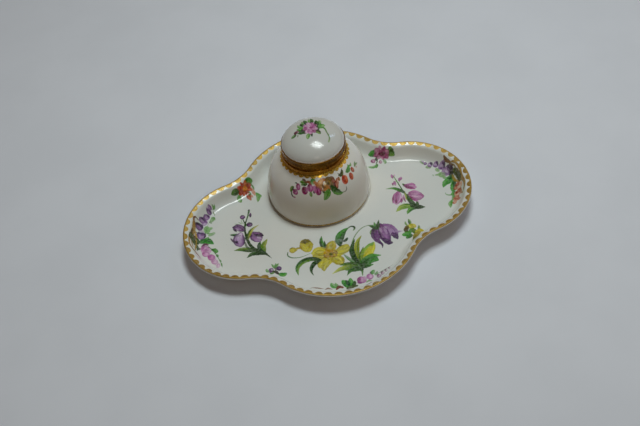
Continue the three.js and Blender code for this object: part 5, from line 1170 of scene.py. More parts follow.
def paint_well_front(c):
    S = c.stroke

    def P(*ta):
        return [W(t, a) for t, a in ta]

    # tendril and leaf at the left end
    leaf(c, P((-44.2, 29.4), (-46.4, 28.2), (-47.6, 25.4)), 1.3, (84, 108, 44), (140, 158, 96)); wash(c, W(-44.6, 28.0), 0.7, 1.1, 0, (58, 70, 40), 0.8, 0.4)
    S(P((-43.6, 32.0), (-41.8, 32.4), (-39.4, 31.4)), [0.3, 0.5, 0.35], [(60, 74, 52)], 0.85, 0.3)
    S(P((-46.2, 26.0), (-45.2, 24.0), (-43.4, 23.0), (-40.6, 22.4)), [0.4, 0.55, 0.5, 0.3], [(84, 104, 60), (64, 74, 54), (150, 96, 116)], 0.85, 0.3); wash(c, W(-40.8, 22.9), 0.9, 0.6, 0, (186, 120, 156), 0.75, 0.4)
    # magenta bells
    mg = ((158, 56, 116), (198, 124, 172), (122, 28, 84), (226, 184, 210)); md = ((132, 28, 88), (176, 78, 140), (104, 12, 64), (212, 150, 190))
    for (t, a), hw, hh, tn, k in (((-38.0, 30.4), 1.6, 2.0, 20, mg), ((-40.8, 26.6), 1.8, 1.9, 24, mg), ((-28.4, 28.8), 2.0, 2.5, 22, md), ((-21.0, 30.8), 2.0, 2.5, 16, mg), ((-15.0, 30.0), 1.1, 2.0, 6, (mg[1], mg[3], mg[0], mg[3])), ((-10.6, 28.8), 1.9, 2.9, 12, md)):
        bell_at(c, W(t, a), hw * 1.1, hh * 1.12, tn, *k, a=0.9, soft=0.42, fold=0.6)
    wash(c, W(-23.0, 30.8), 0.7, 1.7, 8, (116, 30, 74), 0.8, 0.4); wash(c, W(-28.6, 29.0), 0.9, 1.4, 15, (110, 16, 66), 0.7, 0.4); wash(c, W(-41.2, 27.0), 0.6, 0.8, 15, (96, 36, 66), 0.75, 0.4)
    # greens and brown buds over them
    leaf(c, P((-25.5, 32.6), (-31.0, 33.8), (-37.0, 33.6)), 1.5, (74, 96, 32), (120, 148, 76)); leaf(c, P((-27.0, 32.0), (-31.0, 32.6), (-34.4, 31.6)), 1.0, (60, 90, 36), (116, 146, 80))
    S(P((-33.2, 35.6), (-30.4, 35.2), (-27.0, 34.0)), [0.5, 0.9, 0.7], [(110, 76, 34), (118, 82, 30)], 0.88, 0.3); S(P((-26.0, 34.4), (-22.6, 34.2), (-20.0, 33.0)), [0.7, 1.1, 0.6], [(150, 96, 48), (158, 92, 56)], 0.88, 0.3)
    leaf(c, P((-20.4, 34.6), (-16.4, 35.4), (-12.6, 34.6)), 1.3, (84, 128, 72), (140, 174, 120)); wash(c, W(-16.5, 33.4), 2.0, 0.7, 0, (130, 164, 110), 0.7, 0.4)
    leaf(c, P((-20.4, 28.0), (-20.0, 26.2), (-19.4, 24.6)), 1.1, (120, 150, 92), (160, 184, 130), a=0.85); S(P((-16.2, 28.4), (-15.6, 27.2)), [0.4, 0.8, 0.4], [(50, 70, 44)], 0.9, 0.3)
    # scrolling ribbon: broad orange-brown brush work
    o1, o2, o3 = (200, 138, 66), (218, 166, 94), (176, 124, 50)
    wash(c, W(-6.4, 32.8), 2.7, 1.9, 0, (206, 156, 96), 0.85, 0.5); wash(c, W(6.4, 31.6), 2.9, 3.0, 0, (160, 134, 66), 0.85, 0.5); wash(c, W(0.6, 29.2), 2.6, 1.4, 0, (196, 146, 80), 0.8, 0.5)
    wash(c, W(14.6, 30.2), 1.6, 2.4, -12, (196, 130, 104), 0.75, 0.5); wash(c, W(-14.6, 29.6), 1.2, 2.6, 6, (206, 140, 180), 0.8, 0.5); wash(c, W(-24.6, 30.2), 1.2, 1.8, 10, (214, 168, 196), 0.6, 0.6)
    S(P((-14.6, 34.2), (-12.0, 33.0), (-9.6, 31.2)), [0.9, 1.3, 0.8], [(200, 136, 84), (190, 114, 62)], 0.88, 0.3)
    S(P((-9.8, 32.0), (-7.6, 33.4), (-4.6, 34.4), (-0.6, 34.8), (3.6, 34.4)), [0.9, 1.4, 1.4, 1.2, 0.8], [o1, o2, o1, (182, 128, 56)], 0.9, 0.28, edge=(160, 92, 32), edge_k=0.35)
    wash(c, W(-5.6, 31.4), 1.9, 1.6, 0, (206, 160, 112), 0.7, 0.6)
    S(P((-8.4, 31.0), (-6.2, 29.4), (-5.2, 28.0)), [0.6, 0.9, 0.5], [(190, 130, 90), (176, 116, 80)], 0.8, 0.35)
    S(P((-2.6, 28.4), (0.6, 29.4), (4.0, 29.2), (7.4, 28.6)), [0.8, 1.7, 1.8, 1.0], [(206, 150, 84), (200, 142, 66), (184, 124, 50)], 0.9, 0.28, edge=(150, 96, 36), edge_k=0.35)
    S(P((-3.6, 31.8), (-2.6, 30.2), (-0.4, 30.0)), [0.5, 0.8, 0.5], [(116, 96, 40), (140, 108, 52)], 0.85, 0.3)
    S(P((2.4, 33.2), (4.6, 34.8), (8.0, 34.6), (10.4, 32.4), (9.8, 30.2), (7.0, 29.8)), [0.8, 1.1, 1.2, 1.1, 1.1, 0.8], [(150, 122, 44), (134, 112, 38), (146, 118, 46)], 0.92, 0.32, edge=(96, 78, 24), edge_k=0.35)
    wash(c, W(5.0, 31.8), 0.9, 1.1, 0, (92, 80, 20), 0.85, 0.4); S(P((6.6, 33.2), (7.6, 31.4)), [0.4, 0.7, 0.3], [(176, 146, 60)], 0.75, 0.3)
    wash(c, W(0.4, 32.3), 0.75, 1.1, 25, (255, 236, 206), 0.95, 0.35); S(P((-1.6, 31.6), (0.6, 31.0)), [0.3, 0.6, 0.3], [(224, 176, 110)], 0.8, 0.3)
    S(P((10.6, 35.0), (13.4, 34.2), (15.0, 32.4)), [0.7, 1.1, 0.6], [(140, 112, 54), (152, 96, 56)], 0.86, 0.32); S(P((11.4, 32.8), (13.0, 31.4)), [0.5, 1.0, 0.5], [(168, 106, 82)], 0.85, 0.32)
    # red bells beside the knot
    rd = ((158, 66, 40), (196, 122, 96), (122, 40, 22), (224, 172, 150))
    bell_at(c, W(14.6, 29.2), 1.8, 2.5, -14, *rd); wash(c, W(12.8, 29.6), 0.7, 1.7, -8, (112, 34, 18), 0.85, 0.35)
    bell_at(c, W(18.2, 31.0), 1.0, 2.1, -14, (190, 126, 100), (214, 164, 144), (158, 92, 66), (232, 198, 182), a=0.85); bell_at(c, W(21.8, 31.8), 0.95, 1.4, -10, (166, 112, 60), (190, 140, 96), (130, 84, 40), (216, 180, 148), a=0.88)
    # greens below the knot
    wash(c, W(-0.4, 25.4), 2.1, 2.9, -28, (122, 164, 92), 0.8, 0.5); wash(c, W(12.6, 25.2), 3.0, 1.8, -32, (92, 138, 72), 0.8, 0.5)
    leaf(c, P((3.4, 28.2), (1.0, 25.6), (-1.6, 23.6), (-4.8, 21.6)), 2.0, (84, 124, 48), (132, 178, 98)); wash(c, W(1.4, 26.4), 1.7, 1.5, 30, (96, 136, 56), 0.85, 0.4); wash(c, W(-3.8, 27.2), 0.8, 1.0, 0, (74, 84, 36), 0.85, 0.4)
    S(P((4.4, 26.2), (1.8, 24.0), (-0.6, 22.6)), [0.6, 0.9, 0.3], [(110, 160, 76), (146, 190, 116)], 0.8, 0.35)
    leaf(c, P((7.0, 29.4), (9.6, 27.0), (12.6, 24.6), (16.6, 22.8), (20.6, 22.4)), 2.0, (48, 92, 38), (120, 168, 92)); S(P((8.0, 29.2), (10.4, 27.2), (13.0, 25.4), (14.2, 24.2)), [1.1, 1.9, 1.5, 0.5], [(44, 78, 30), (50, 94, 38), (72, 120, 56)], 0.88, 0.4)
    S(P((12.6, 26.6), (15.4, 25.2)), [0.5, 0.8, 0.2], [(40, 70, 30)], 0.85, 0.3)
    S(P((19.6, 22.6), (23.0, 22.2), (25.6, 23.0), (26.6, 25.0)), [0.3, 0.45, 0.5, 0.2], [(150, 168, 130), (130, 134, 116), (140, 140, 130)], 0.75, 0.35)
    # olive calyx leaf right of the knot
    leaf(c, P((23.6, 33.6), (28.4, 33.2), (34.6, 35.0)), 1.3, (76, 86, 22), (112, 118, 50)); S(P((29.0, 33.6), (33.0, 35.4), (35.2, 36.0)), [0.6, 0.6, 0.15], [(84, 88, 32)], 0.85, 0.3); S(P((25.2, 34.2), (24.0, 35.2)), [0.4, 0.5, 0.2], [(110, 104, 60)], 0.75, 0.3)
    # vermilion bells, shrinking to the right end
    vr = ((198, 78, 22), (222, 124, 66), (164, 50, 10), (236, 166, 120)); v2 = ((190, 78, 32), (220, 128, 80), (158, 54, 20), (236, 176, 138))
    bell_at(c, W(29.0, 29.2), 2.45, 3.1, -12, *vr); wash(c, W(28.0, 29.2), 1.2, 2.0, -10, (176, 56, 8), 0.8, 0.45); S(P((32.6, 31.2), (33.4, 29.0)), [0.4, 0.7, 0.3], [(226, 150, 118)], 0.7, 0.4)
    bell_at(c, W(40.2, 28.0), 1.9, 2.5, -16, *v2); wash(c, W(39.6, 28.2), 0.9, 1.5, -10, (176, 62, 20), 0.75, 0.45)
    bell_at(c, W(48.2, 30.2), 1.6, 1.9, -18, (176, 84, 58), (206, 134, 108), (150, 62, 38), (228, 180, 160)); wash(c, W(56.6, 28.6), 0.9, 0.6, 10, (216, 164, 146), 0.7, 0.45)
    leaf(c, P((36.6, 32.4), (42.4, 32.4), (48.6, 34.2)), 1.5, (60, 122, 40), (110, 166, 84)); leaf(c, P((38.0, 31.8), (43.0, 31.8), (47.2, 32.6)), 1.0, (52, 112, 40), (96, 154, 74)); leaf(c, P((47.0, 33.6), (51.2, 33.0), (54.8, 34.0)), 0.8, (96, 140, 72), (140, 178, 118), a=0.85)
    S(P((45.6, 33.6), (48.4, 35.0)), [0.4, 0.5, 0.12], [(84, 140, 66)], 0.85, 0.3)
    leaf(c, P((54.4, 29.8), (58.0, 30.4), (62.4, 31.2)), 0.9, (120, 146, 104), (164, 184, 150), a=0.8, soft=0.4); leaf(c, P((56.4, 30.4), (60.6, 29.6), (64.0, 28.8)), 0.8, (126, 150, 110), (168, 188, 154), a=0.75, soft=0.4)


def paint_well(c):
    paint_well_front(c)
    # the same swag on the far side, its join at the hinge side
    P0 = c.P
    x = P0[:, 0].copy()
    half = 180 * 0.5236
    c.P = np.c_[np.where(x > 0, x - half, x + half), P0[:, 1]]
    paint_well_front(c)
    c.P = P0


def paint_lid(c):
    S = c.stroke
    # leaves behind the rose
    leaf(c, [(-1.4, 7.0), (-1.8, 10.0), (-2.0, 13.2)], 1.5, (50, 78, 62), (96, 128, 96)); leaf(c, [(1.6, 7.0), (2.4, 10.0), (2.6, 13.4)], 1.4, (50, 78, 56), (96, 130, 92)); leaf(c, [(0.6, 8.0), (0.8, 10.6), (1.2, 13.4)], 0.9, (120, 156, 104), (170, 192, 154), a=0.85)
    leaf(c, [(-3.0, 5.6), (-4.4, 7.8), (-5.0, 10.4)], 1.3, (48, 80, 54), (88, 120, 80)); leaf(c, [(-4.2, 4.6), (-6.2, 6.6), (-7.0, 9.6)], 1.2, (96, 140, 80), (160, 190, 140), a=0.88); leaf(c, [(-3.0, 8.4), (-3.6, 10.4), (-3.6, 12.4)], 0.8, (120, 154, 108), (168, 192, 152), a=0.8)
    leaf(c, [(-4.0, 2.6), (-6.4, 3.4), (-8.2, 5.4)], 1.8, (72, 118, 62), (122, 164, 100)); leaf(c, [(-4.0, 1.4), (-6.0, 0.8), (-8.4, 1.4)], 1.5, (56, 96, 48), (110, 148, 92)); wash(c, (-5.0, 2.2), 1.2, 1.9, 10, (34, 48, 32), 0.92, 0.4); wash(c, (-4.4, -0.6), 1.0, 0.7, 0, (60, 84, 50), 0.8, 0.4)
    leaf(c, [(3.8, 4.6), (4.8, 7.2), (5.0, 10.0)], 1.3, (44, 76, 50), (84, 120, 78)); leaf(c, [(4.6, 0.6), (6.0, 4.4), (6.8, 8.8)], 1.5, (52, 92, 54), (96, 140, 82)); wash(c, (4.4, 1.4), 0.9, 2.2, 0, (40, 64, 40), 0.88, 0.4)
    leaf(c, [(5.8, 2.2), (7.6, 3.2), (9.2, 3.0)], 1.8, (110, 156, 92), (164, 196, 142), a=0.85); leaf(c, [(6.8, 5.4), (7.4, 8.0), (6.8, 10.4)], 0.9, (140, 172, 124), (180, 202, 168), a=0.75)
    leaf(c, [(2.4, -0.8), (4.0, -2.2), (4.6, -4.2)], 1.5, (70, 90, 42), (140, 166, 92)); leaf(c, [(-2.0, -1.8), (-3.0, -3.6), (-4.0, -5.8)], 1.4, (104, 140, 84), (164, 190, 138)); leaf(c, [(-0.2, -1.6), (-0.6, -3.2), (-0.8, -5.0)], 0.7, (60, 76, 56), (90, 110, 80))
    # rose
    base = [((196, 136, 176), (214, 168, 198)), ((168, 96, 146), (192, 136, 172)), ((206, 160, 190), (222, 188, 208))]
    p = np.array([-0.1, 3.0])
    for k in range(9):
        t = k * 2 * math.pi / 9 + 0.3
        d = np.array([math.cos(t) * 0.86, math.sin(t) * 1.12])
        lo, hi = base[k % 3]
        S([p + d * 1.0, p + d * 2.8, p + d * 4.2], [1.1, 1.9, 1.3], [lo, hi], 0.95, 0.26, 0.45, edge=(152, 86, 130), edge_k=0.45)
    for k in range(5):
        t = k * 2 * math.pi / 5 + 0.8
        d = np.array([math.cos(t), math.sin(t) * 1.2])
        S([p + d * 0.3, p + d * 1.4, p + d * 2.3], [0.7, 1.2, 0.9], [(186, 116, 162), (216, 170, 198)], 0.93, 0.22, 0.45, edge=(146, 76, 122), edge_k=0.5)
    wash(c, (-0.9, 4.6), 1.0, 2.8, 0, (222, 190, 212), 0.7, 0.5); wash(c, (-3.0, 3.4), 0.8, 2.0, 0, (158, 84, 134), 0.75, 0.45); wash(c, (2.0, 3.6), 1.0, 2.2, 0, (176, 96, 152), 0.7, 0.45)
    wash(c, (3.6, 4.8), 0.6, 1.8, 0, (128, 62, 100), 0.8, 0.4); wash(c, (1.2, -0.4), 0.8, 0.9, 0, (146, 70, 116), 0.8, 0.4); wash(c, (-2.0, 0.4), 1.2, 0.9, 0, (176, 112, 156), 0.6, 0.4)
    S([(-0.4, 3.6), (0.6, 2.4), (1.4, 3.2)], [0.25, 0.45, 0.25], [(126, 54, 100)], 0.7, 0.25)
    # bud at the left
    S([(-5.2, 1.8), (-7.2, 1.6), (-8.8, 1.6)], [0.9, 0.6, 0.4], [(44, 66, 38), (70, 100, 56)], 0.9, 0.3)
    S([(-8.6, 3.2), (-9.6, 2.9), (-10.4, 1.4)], [0.9, 1.2, 0.5], [(128, 52, 84), (110, 36, 64)], 0.93, 0.3, edge=(84, 24, 50), edge_k=0.5); wash(c, (-8.2, 3.4), 0.7, 0.9, 0, (196, 150, 164), 0.7, 0.4)
    leaf(c, [(-10.0, 1.0), (-11.6, 0.4), (-13.2, -0.2)], 1.2, (84, 116, 72), (140, 166, 120)); S([(-8.8, 0.2), (-9.4, -1.6)], [0.5, 0.6, 0.2], [(150, 160, 140)], 0.7, 0.35)
    # trailing stem at the right
    S([(5.6, 1.4), (7.6, 1.2), (8.6, -0.6), (8.9, -3.2), (9.5, -6.0), (9.4, -8.2), (8.2, -10.6)], [0.9, 0.7, 0.5, 0.45, 0.5, 0.5, 0.35], [(84, 128, 68), (104, 136, 84), (118, 134, 100), (130, 150, 108), (166, 184, 146)], 0.88, 0.3)
    S([(8.8, -9.8), (7.8, -11.0)], [0.5, 0.6, 0.2], [(176, 192, 156)], 0.7, 0.35)


# ------------------------------------------------------------------ materials
class Nodes:
    def __init__(self, name):
        self.m = bpy.data.materials.new(name); self.m.use_nodes = True
        self.t = self.m.node_tree; self.t.nodes.clear()

    def n(self, kind, **props):
        node = self.t.nodes.new("ShaderNode" + kind)
        for k, v in props.items():
            setattr(node, k, v)
        return node

    def set(self, socket, value):
        if isinstance(value, bpy.types.NodeSocket):
            self.t.links.new(value, socket)
        elif value is not None:
            socket.default_value = value

    def attr(self, name):
        return self.n("Attribute", attribute_type="GEOMETRY", attribute_name=name)

    def math(self, op, a, b=None, c=None, clamp=False):
        node = self.n("Math", operation=op, use_clamp=clamp)
        for s, v in zip(node.inputs, (a, b, c)):
            self.set(s, v)
        return node.outputs[0]

    def ramp(self, x, lo, hi, a=0.0, b=1.0, smoothstep=True):
        node = self.n("MapRange", interpolation_type="SMOOTHSTEP" if smoothstep else "LINEAR")
        for s, v in zip(node.inputs, (x, lo, hi, a, b)):
            self.set(s, v)
        return node.outputs[0]

    def mix(self, f, a, b, kind="MIX"):
        node = self.n("Mix", data_type="RGBA", blend_type=kind)
        self.set(node.inputs[0], f); self.set(node.inputs[6], a); self.set(node.inputs[7], b)
        return node.outputs[2]

    def mixf(self, f, a, b):
        node = self.n("Mix", data_type="FLOAT")
        self.set(node.inputs[0], f); self.set(node.inputs[2], a); self.set(node.inputs[3], b)
        return node.outputs[0]

    def coords(self):
        return self.n("TexCoord").outputs["Object"]

    def noise(self, per_m, detail=3.0, rough=0.5, vec=None, distortion=0.0, out="Fac"):
        node = self.n("TexNoise")
        self.set(node.inputs["Vector"], vec if vec is not None else self.coords())
        self.set(node.inputs["Scale"], per_m); self.set(node.inputs["Detail"], detail)
        self.set(node.inputs["Roughness"], rough); self.set(node.inputs["Distortion"], distortion)
        return node.outputs[out]

    def cells(self, per_m, vec=None, feature="F1"):
        node = self.n("TexVoronoi", feature=feature)
        self.set(node.inputs["Vector"], vec if vec is not None else self.coords())
        self.set(node.inputs["Scale"], per_m)
        return node.outputs["Distance"]

    def bump(self, height, dist, strength=1.0, normal=None):
        node = self.n("Bump")
        self.set(node.inputs["Strength"], strength); self.set(node.inputs["Distance"], dist)
        self.set(node.inputs["Height"], height)
        if normal is not None:
            self.set(node.inputs["Normal"], normal)
        return node.outputs[0]

    def finish(self, **inputs):
        b = self.n("BsdfPrincipled")
        for k, v in inputs.items():
            self.set(b.inputs[k.replace("_", " ")], v)
        out = self.n("OutputMaterial")
        self.t.links.new(b.outputs[0], out.inputs[0])
        return self.m


def lin(r, g, b):
    return (*[float(v) for v in to_linear(np.array([r, g, b]) / 255.0)], 1.0)


def china(name, painted=True, warm=0.0, bare_attr=True, painted_shade_factor=1.0, gild=((186, 154, 74), (158, 126, 54)), burnish=(0.40, 0.56)):
    """Hard-paste porcelain: clear glaze over a white body, enamels and burnished gilding fired on top."""
    N = Nodes(name)
    # the body: barely uneven white, cooler where the glaze is thick, a few iron specks
    cloud = N.noise(22, 4, 0.55)
    # painted_shade_factor below one darkens this white: painted shade, a dimmer copy of the same glaze
    white = N.mix(N.ramp(cloud, 0.35, 0.7), lin(225 * painted_shade_factor + warm, 226 * painted_shade_factor, 220 * painted_shade_factor - warm), lin(218 * painted_shade_factor + warm, 222 * painted_shade_factor, 218 * painted_shade_factor - warm))
    fine = N.noise(900, 2, 0.6)
    white = N.mix(N.ramp(fine, 0.35, 0.75, 0.0, 0.10), white, lin(214, 215, 208))
    speck = N.cells(130)
    sp_sel = N.noise(38, 1, 0.5)
    sp = N.math("MULTIPLY", N.ramp(speck, 0.055, 0.03), N.ramp(sp_sel, 0.60, 0.64))
    white = N.mix(N.math("MULTIPLY", sp, 0.5), white, lin(120, 104, 84))
    rough = N.ramp(N.noise(60, 3, 0.6), 0.3, 0.75, 0.12, 0.19)
    metal, coat = 0.0, 0.04
    ripple = N.noise(70, 2, 0.45)
    orange = N.noise(700, 2, 0.5)
    normal = N.bump(N.math("ADD", N.math("MULTIPLY", ripple, 1.0), N.math("MULTIPLY", orange, 0.03)), 0.00022, 0.5)
    color = white
    if painted:
        en = N.attr("Enamel")
        a = N.math("MAXIMUM", en.outputs["Alpha"], 0.004)
        un = N.n("VectorMath", operation="DIVIDE")
        N.set(un.inputs[0], en.outputs["Color"])
        cb = N.n("CombineXYZ")
        for k in range(3):
            N.set(cb.inputs[k], a)
        N.set(un.inputs[1], cb.outputs[0])
        cover = N.ramp(en.outputs["Alpha"], 0.16, 0.84)
        # fired enamel: a little mottled, thinner in patches
        mott = N.ramp(N.noise(1500, 3, 0.65), 0.25, 0.8, 0.84, 1.14, False)
        tint = N.n("VectorMath", operation="SCALE")
        N.set(tint.inputs[0], un.outputs[0]); N.set(tint.inputs["Scale"], mott)
        thin = N.ramp(N.noise(620, 3, 0.6), 0.35, 0.72, 1.0, 0.86)
        cover = N.math("MULTIPLY", cover, thin)
        color = N.mix(cover, white, tint.outputs[0])
        rough = N.mixf(cover, rough, N.ramp(N.noise(800, 2, 0.5), 0.3, 0.7, 0.12, 0.22))
        gl = N.attr("Gilt")
        edge_n = N.math("MULTIPLY", N.math("SUBTRACT", N.noise(900, 3, 0.6), 0.5), 0.16)
        g = N.ramp(N.math("ADD", gl.outputs["Fac"], edge_n), 0.475, 0.525)
        wear_big = N.ramp(N.noise(55, 3, 0.6), 0.45, 0.75)
        wear = N.ramp(N.noise(1300, 4, 0.7), 0.53, 0.66)
        rub = N.math("MULTIPLY", wear, N.math("MULTIPLY_ADD", wear_big, 0.55, 0.08), clamp=True)
        g = N.math("MULTIPLY", g, N.math("SUBTRACT", 1.0, rub))
        gold = N.mix(N.ramp(N.noise(300, 4, 0.6), 0.3, 0.75), lin(*gild[0]), lin(*gild[1]))
        gold = N.mix(N.ramp(N.noise(2200, 2, 0.6), 0.45, 0.8, 0.0, 0.5), gold, lin(120, 92, 38))
        color = N.mix(g, color, gold)
        metal = N.math("MULTIPLY", g, 0.62)
        rough = N.mixf(g, rough, N.ramp(N.noise(1200, 3, 0.6), 0.3, 0.7, *burnish))
        coat = N.mixf(g, 0.04, 0.0)
    if bare_attr:
        bare = N.attr("Bare").outputs["Fac"]
        grit = N.noise(2600, 3, 0.7)
        biscuit = N.mix(N.ramp(grit, 0.3, 0.75), lin(226, 219, 204), lin(196, 186, 168))
        dirt = N.ramp(N.noise(140, 4, 0.6), 0.45, 0.72, 0.0, 0.6)
        biscuit = N.mix(dirt, biscuit, lin(150, 138, 120))
        color = N.mix(bare, color, biscuit)
        rough = N.mixf(bare, rough, 0.72)
        coat = N.math("MULTIPLY", coat, N.math("SUBTRACT", 1.0, bare))
        normal = N.bump(grit, 0.00006, bare, normal)
    return N.finish(Base_Color=color, Roughness=rough, Metallic=metal, Coat_Weight=coat, Coat_Roughness=0.04, IOR=1.52, Specular_IOR_Level=0.34, Normal=normal)


def brass(name, bright=0.5, grain=1.0, a=(150, 92, 26), b=(118, 66, 14), c=(74, 40, 8), hi=(206, 150, 60)):
    """Gilt brass toned brown, darker in the hollows, brighter where it is handled."""
    N = Nodes(name)
    geo = N.n("NewGeometry")
    point = N.ramp(geo.outputs["Pointiness"], 0.47, 0.56)
    big, small = N.noise(90, 4, 0.6), N.noise(700, 4, 0.65)
    tone = N.math("ADD", N.math("MULTIPLY", big, 0.6), N.math("MULTIPLY", small, 0.4))
    base = N.mix(N.ramp(tone, 0.36, 0.66), lin(*b), lin(*a))
    dull = N.mix(N.ramp(N.noise(240, 4, 0.6), 0.4, 0.7), lin(*c), lin(*[int(v * 1.25) for v in c]))
    age = N.math("MULTIPLY", N.ramp(N.noise(160, 4, 0.65), 0.42, 0.66), 1.0 - bright * 0.6)
    base = N.mix(age, base, dull)
    base = N.mix(N.math("MULTIPLY", point, 0.5), base, lin(*hi))
    spot = N.math("MULTIPLY", N.ramp(N.cells(420), 0.16, 0.08), N.ramp(N.noise(120, 2, 0.5), 0.55, 0.62))
    base = N.mix(N.math("MULTIPLY", spot, 0.6), base, lin(52, 30, 8))
    rough = N.mixf(age, N.ramp(small, 0.3, 0.7, 0.2, 0.34), N.ramp(small, 0.3, 0.7, 0.4, 0.55))
    # fine turning marks run round the piece
    sep = N.n("SeparateXYZ"); N.set(sep.inputs[0], N.coords())
    lines = N.n("TexNoise", noise_dimensions="1D"); N.set(lines.inputs["W"], sep.outputs["Z"]); N.set(lines.inputs["Scale"], 9000 * grain); N.set(lines.inputs["Detail"], 2)
    n1 = N.bump(lines.outputs[0], 0.000012, 0.35)
    n2 = N.bump(small, 0.00003, 0.3, n1)
    return N.finish(Base_Color=base, Roughness=rough, Metallic=1.0, Normal=n2)


def plaster(name):
    N = Nodes(name)
    a, b = N.noise(400, 5, 0.65), N.noise(2600, 3, 0.7)
    col = N.mix(N.ramp(a, 0.3, 0.7), lin(222, 213, 192), lin(188, 174, 146))
    col = N.mix(N.ramp(b, 0.55, 0.75, 0.0, 0.4), col, lin(140, 122, 96))
    return N.finish(Base_Color=col, Roughness=N.ramp(b, 0.2, 0.8, 0.75, 0.95), Normal=N.bump(b, 0.00008, 0.6))


def paper(name):
    N = Nodes(name)
    a = N.noise(14, 4, 0.5)
    col = N.mix(N.ramp(a, 0.35, 0.7), lin(226, 230, 237), lin(222, 226, 233))
    return N.finish(Base_Color=col, Roughness=0.85, Specular_IOR_Level=0.15, Normal=N.bump(N.noise(900, 3, 0.6), 0.00006, 0.25))


# ------------------------------------------------------------------ small solids for the hinge
def prism_x(name, poly, x0, x1):
    """A closed prism along X over a (y, z) polygon."""
    p = np.asarray(poly, float); n = len(p)
    V = np.vstack([np.c_[np.full(n, x0), p], np.c_[np.full(n, x1), p]])
    quads = [(i, (i + 1) % n, n + (i + 1) % n, n + i) for i in range(n)]
    return facing(make_mesh(name, V, None, quads, [list(range(n))[::-1], list(range(n, 2 * n))]))


def circle(c, r, n=72, a0=0.0):
    t = np.arange(n) * 2 * math.pi / n + a0
    return np.c_[c[0] + r * np.cos(t), c[1] + r * np.sin(t)]


def applied(ob):
    """The object with its modifiers made real."""
    dg = bpy.context.evaluated_depsgraph_get()
    me = bpy.data.meshes.new_from_object(ob.evaluated_get(dg))
    ob.modifiers.clear()
    old = ob.data; ob.data = me
    bpy.data.meshes.remove(old)
    return ob


def combine(a, b, op):
    m = a.modifiers.new("b", "BOOLEAN"); m.operation = op; m.solver = "EXACT"; m.object = b
    applied(a)
    me = b.data; bpy.data.objects.remove(b); bpy.data.meshes.remove(me)
    return a


def drum_z(name, r, z0, z1, n=360):
    t = np.arange(n) * 2 * math.pi / n
    p = np.c_[WX + r * np.cos(t), WY + r * np.sin(t)]
    V = np.vstack([np.c_[p, np.full(n, z0)], np.c_[p, np.full(n, z1)]])
    quads = [(i, (i + 1) % n, n + (i + 1) % n, n + i) for i in range(n)]
    return facing(make_mesh(name, V, None, quads, [list(range(n))[::-1], list(range(n, 2 * n))]))


def soften(ob, width):
    m = ob.modifiers.new("edge", "BEVEL"); m.width = width * K * MM; m.segments = 3; m.limit_method = "ANGLE"
    m.angle_limit = math.radians(32); m.harden_normals = False
    applied(ob)
    for p in ob.data.polygons:
        p.use_smooth = True
    m = ob.modifiers.new("n", "WEIGHTED_NORMAL"); m.keep_sharp = True
    return ob


HY, HZ = HINGE_Y, HINGE_Z
HALF = (PIN_HI[0] - PIN_LO[0]) / 2 - 0.54 * K
MIDK, GAP, KR, KB = 1.95 * K, 0.2 * K, 1.35 * K, 0.58 * K
WYK = WY / K


def rect_yz(y0, y1, z0, z1):
    return [(y0, z0), (y1, z0), (y1, z1), (y0, z1)]


def build_collar_leaf():
    s = prism_x("collar_leaf", rect_yz(WY + 19.4 * K, HY + 0.35 * K, HZ - 3.0 * K, HZ - 1.05 * K), -HALF, HALF)
    for side in (-1, 1):
        x0, x1 = (-HALF, -(MIDK + GAP)) if side < 0 else (MIDK + GAP, HALF)
        s = combine(s, prism_x("k", circle((HY, HZ), KR), x0, x1), "UNION")
    s = combine(s, prism_x("c", rect_yz(HY - 1.75 * K, HY + 2 * K, HZ - 1.8 * K, HZ + 3 * K), -(MIDK + GAP), MIDK + GAP), "DIFFERENCE")
    s = combine(s, drum_z("d", 21.05 * K, 30 * K, 60 * K), "DIFFERENCE")
    s = combine(s, prism_x("p", circle((HY, HZ), KB, 48), -HALF - 2, HALF + 2), "DIFFERENCE")
    return soften(s, 0.13)


def build_lid_leaf():
    s = prism_x("lid_leaf", rect_yz(WY + 19.6 * K, HY - 0.15 * K, HZ + 0.5 * K, HZ + 4.4 * K), -MIDK, MIDK)
    s = combine(s, prism_x("k", circle((HY, HZ), KR), -MIDK, MIDK), "UNION")
    s = combine(s, drum_z("d", 20.75 * K, 30 * K, 60 * K), "DIFFERENCE")
    s = combine(s, prism_x("p", circle((HY, HZ), KB, 48), -HALF - 2, HALF + 2), "DIFFERENCE")
    return soften(s, 0.13)


def build_pin():
    e = HALF + 0.12 * K
    pr = spline(np.array([(0.0, -e / K - 0.42), (0.38, -e / K - 0.40), (0.7, -e / K - 0.27), (0.85, -e / K - 0.09), (0.80, -e / K - 0.005), (0.55, -e / K)]) * K, 5)
    half = np.vstack([pr, [[0.5 * K, -e]]])
    other = half[::-1].copy(); other[:, 1] *= -1
    prof = np.vstack([half, other])
    prof[0, 0] = prof[-1, 0] = 0
    prof[:, 0] = np.maximum(prof[:, 0], 0)
    ob, _ = lathe("hinge_wire", prof, 64)
    n = len(ob.data.vertices)
    v = np.empty(n * 3, np.float32); ob.data.vertices.foreach_get("co", v)
    v = v.reshape(-1, 3)
    v = np.c_[v[:, 2], v[:, 1] + HY * MM, -v[:, 0] + HZ * MM].astype(np.float32)
    ob.data.vertices.foreach_set("co", v.ravel()); ob.data.update()
    return facing(ob)


# ------------------------------------------------------------------ build everything
tray, tray_c = build_tray()
fix_normals(tray)
set_paint(tray, tray_c)
raise_paint(tray, tray_c)

well, well_c, th, arc_k = build_well()
fix_normals(well)
paint_well(well_c)
well_c.A[arc_k < 0] = 0; well_c.C[arc_k < 0] = 0
well_c.G = np.clip(0.5 + well_gilding(th, arc_k) / 1.2, 0, 1)
set_paint(well, well_c)
raise_paint(well, well_c)

lid, lid_c = build_lid()
fix_normals(lid)
paint_lid(lid_c)
lid_c.over(np.arange(len(lid_c.P)), 0.9 * smooth(19.68, 19.9, np.hypot(*lid_c.P.T)), to_linear((44, 32, 18)))      # painted shade: a dark band round the lid's edge, in the crevice under the mount's lip
set_paint(lid, lid_c)
raise_paint(lid, lid_c)

